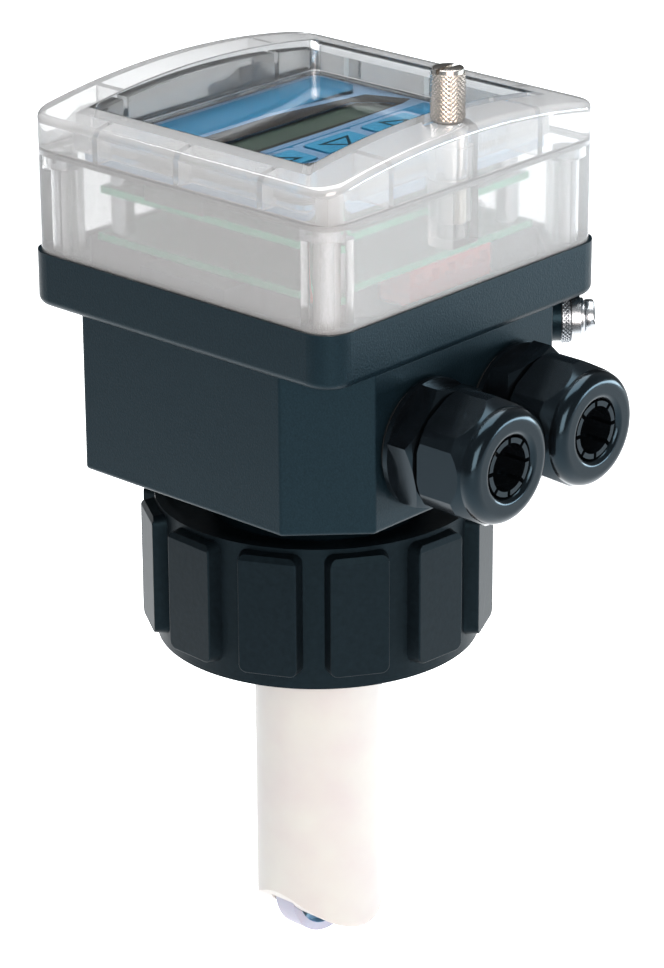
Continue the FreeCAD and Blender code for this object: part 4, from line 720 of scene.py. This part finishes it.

# Studio floor in metres: pale, and glowing by its own emission in an oval behind the part, a painted pool of
# light in place of a light table lit from below, which fades out at its edge
floorLook = {"size": 8, "drop": 0.0005, "paint": "#ebeef0", "roughness": 0.9, "glow": "#ffffff", "lit": 1.1,
             "litPlace": (0.31, 0.30), "litHalf": (0.8, 0.42), "litEdge": 0.55}
nothingSelected()
bpy.ops.mesh.primitive_plane_add(size=floorLook["size"], location=(0, 0, cadBox[0][2] - floorLook["drop"]))
floor = bpy.context.object
floor.name = "studio_floor"
floorPaint, tree, shader, place = newMaterial("studio_floor", {
    "Base Color": linear(floorLook["paint"]), "Roughness": floorLook["roughness"],
    "Emission Color": linear(floorLook["glow"])})
oval = addNode(tree, "ShaderNodeMapping", {
    "vector_type": "TEXTURE", "Location": (*floorLook["litPlace"], 0),
    "Rotation": (0, 0, math.radians(90 + shot["azimuth"])), "Scale": (*floorLook["litHalf"], 1)},
    {"Vector": place})
fade = addNode(tree, "ShaderNodeTexGradient", {"gradient_type": "SPHERICAL"},
               {"Vector": oval.outputs["Vector"]})
glow = addNode(tree, "ShaderNodeMapRange", {
    "interpolation_type": "SMOOTHSTEP", "From Max": floorLook["litEdge"], "To Max": floorLook["lit"]},
    {"Value": fade.outputs["Fac"]})
tree.links.new(glow.outputs["Result"], shader.inputs["Emission Strength"])
floor.data.materials.append(floorPaint)

# A dim room, nearly dark in the direction of the flag, which is what the lid's pane mirrors to the camera
roomLook = {"colour": "#e6eef2", "level": 0.3, "flag": (0.685, 0.625, 0.375), "flagLevel": 0.02,
            "flagEdge": (0.8, 0.95)}
world = bpy.data.worlds.new("studio")
world.use_nodes = True
bpy.context.scene.world = world
tree = world.node_tree
sky = addNode(tree, "ShaderNodeTexCoord").outputs["Generated"]
flag = addNode(tree, "ShaderNodeVectorMath", {"operation": "DOT_PRODUCT", 1: roomLook["flag"]}, {0: sky})
dim = addNode(tree, "ShaderNodeMapRange", {
    "From Min": roomLook["flagEdge"][0], "From Max": roomLook["flagEdge"][1],
    "To Min": roomLook["level"], "To Max": roomLook["flagLevel"]}, {"Value": flag.outputs["Value"]})
tree.nodes["Background"].inputs["Color"].default_value = linear(roomLook["colour"])
tree.links.new(dim.outputs["Result"], tree.nodes["Background"].inputs["Strength"])

# Three soft boxes: where each stands, where it points, its width and height, its watts and its colour
# The right one stands so low that the lid's pane doesn't mirror it
softboxes = {
    "top_softbox": ((0.1, 0.1, 0.9), (0, 0, 0.05), (0.9, 0.9), 16.0, "#fdfeff"),
    "right_softbox": ((0.75, -0.6, -0.12), (0.05, -0.05, 0.02), (0.7, 0.4), 13.0, "#deeef6"),
    "left_softbox": ((-0.6, -0.85, 0.3), (0, 0, 0.05), (0.6, 0.6), 10.0, "#fff4ee"),
}
for name, (spot, aim, size, watts, colour) in softboxes.items():
    lampData = bpy.data.lights.new(name, "AREA")
    lampData.shape = "RECTANGLE"
    lampData.size, lampData.size_y = size
    lampData.energy = watts
    lampData.color = linear(colour)[:3]
    lamp = bpy.data.objects.new(name, lampData)
    lamp.location = spot
    lamp.rotation_euler = (Vector(aim) - Vector(spot)).to_track_quat("-Z", "Y").to_euler()
    bpy.context.scene.collection.objects.link(lamp)
print("studio set")
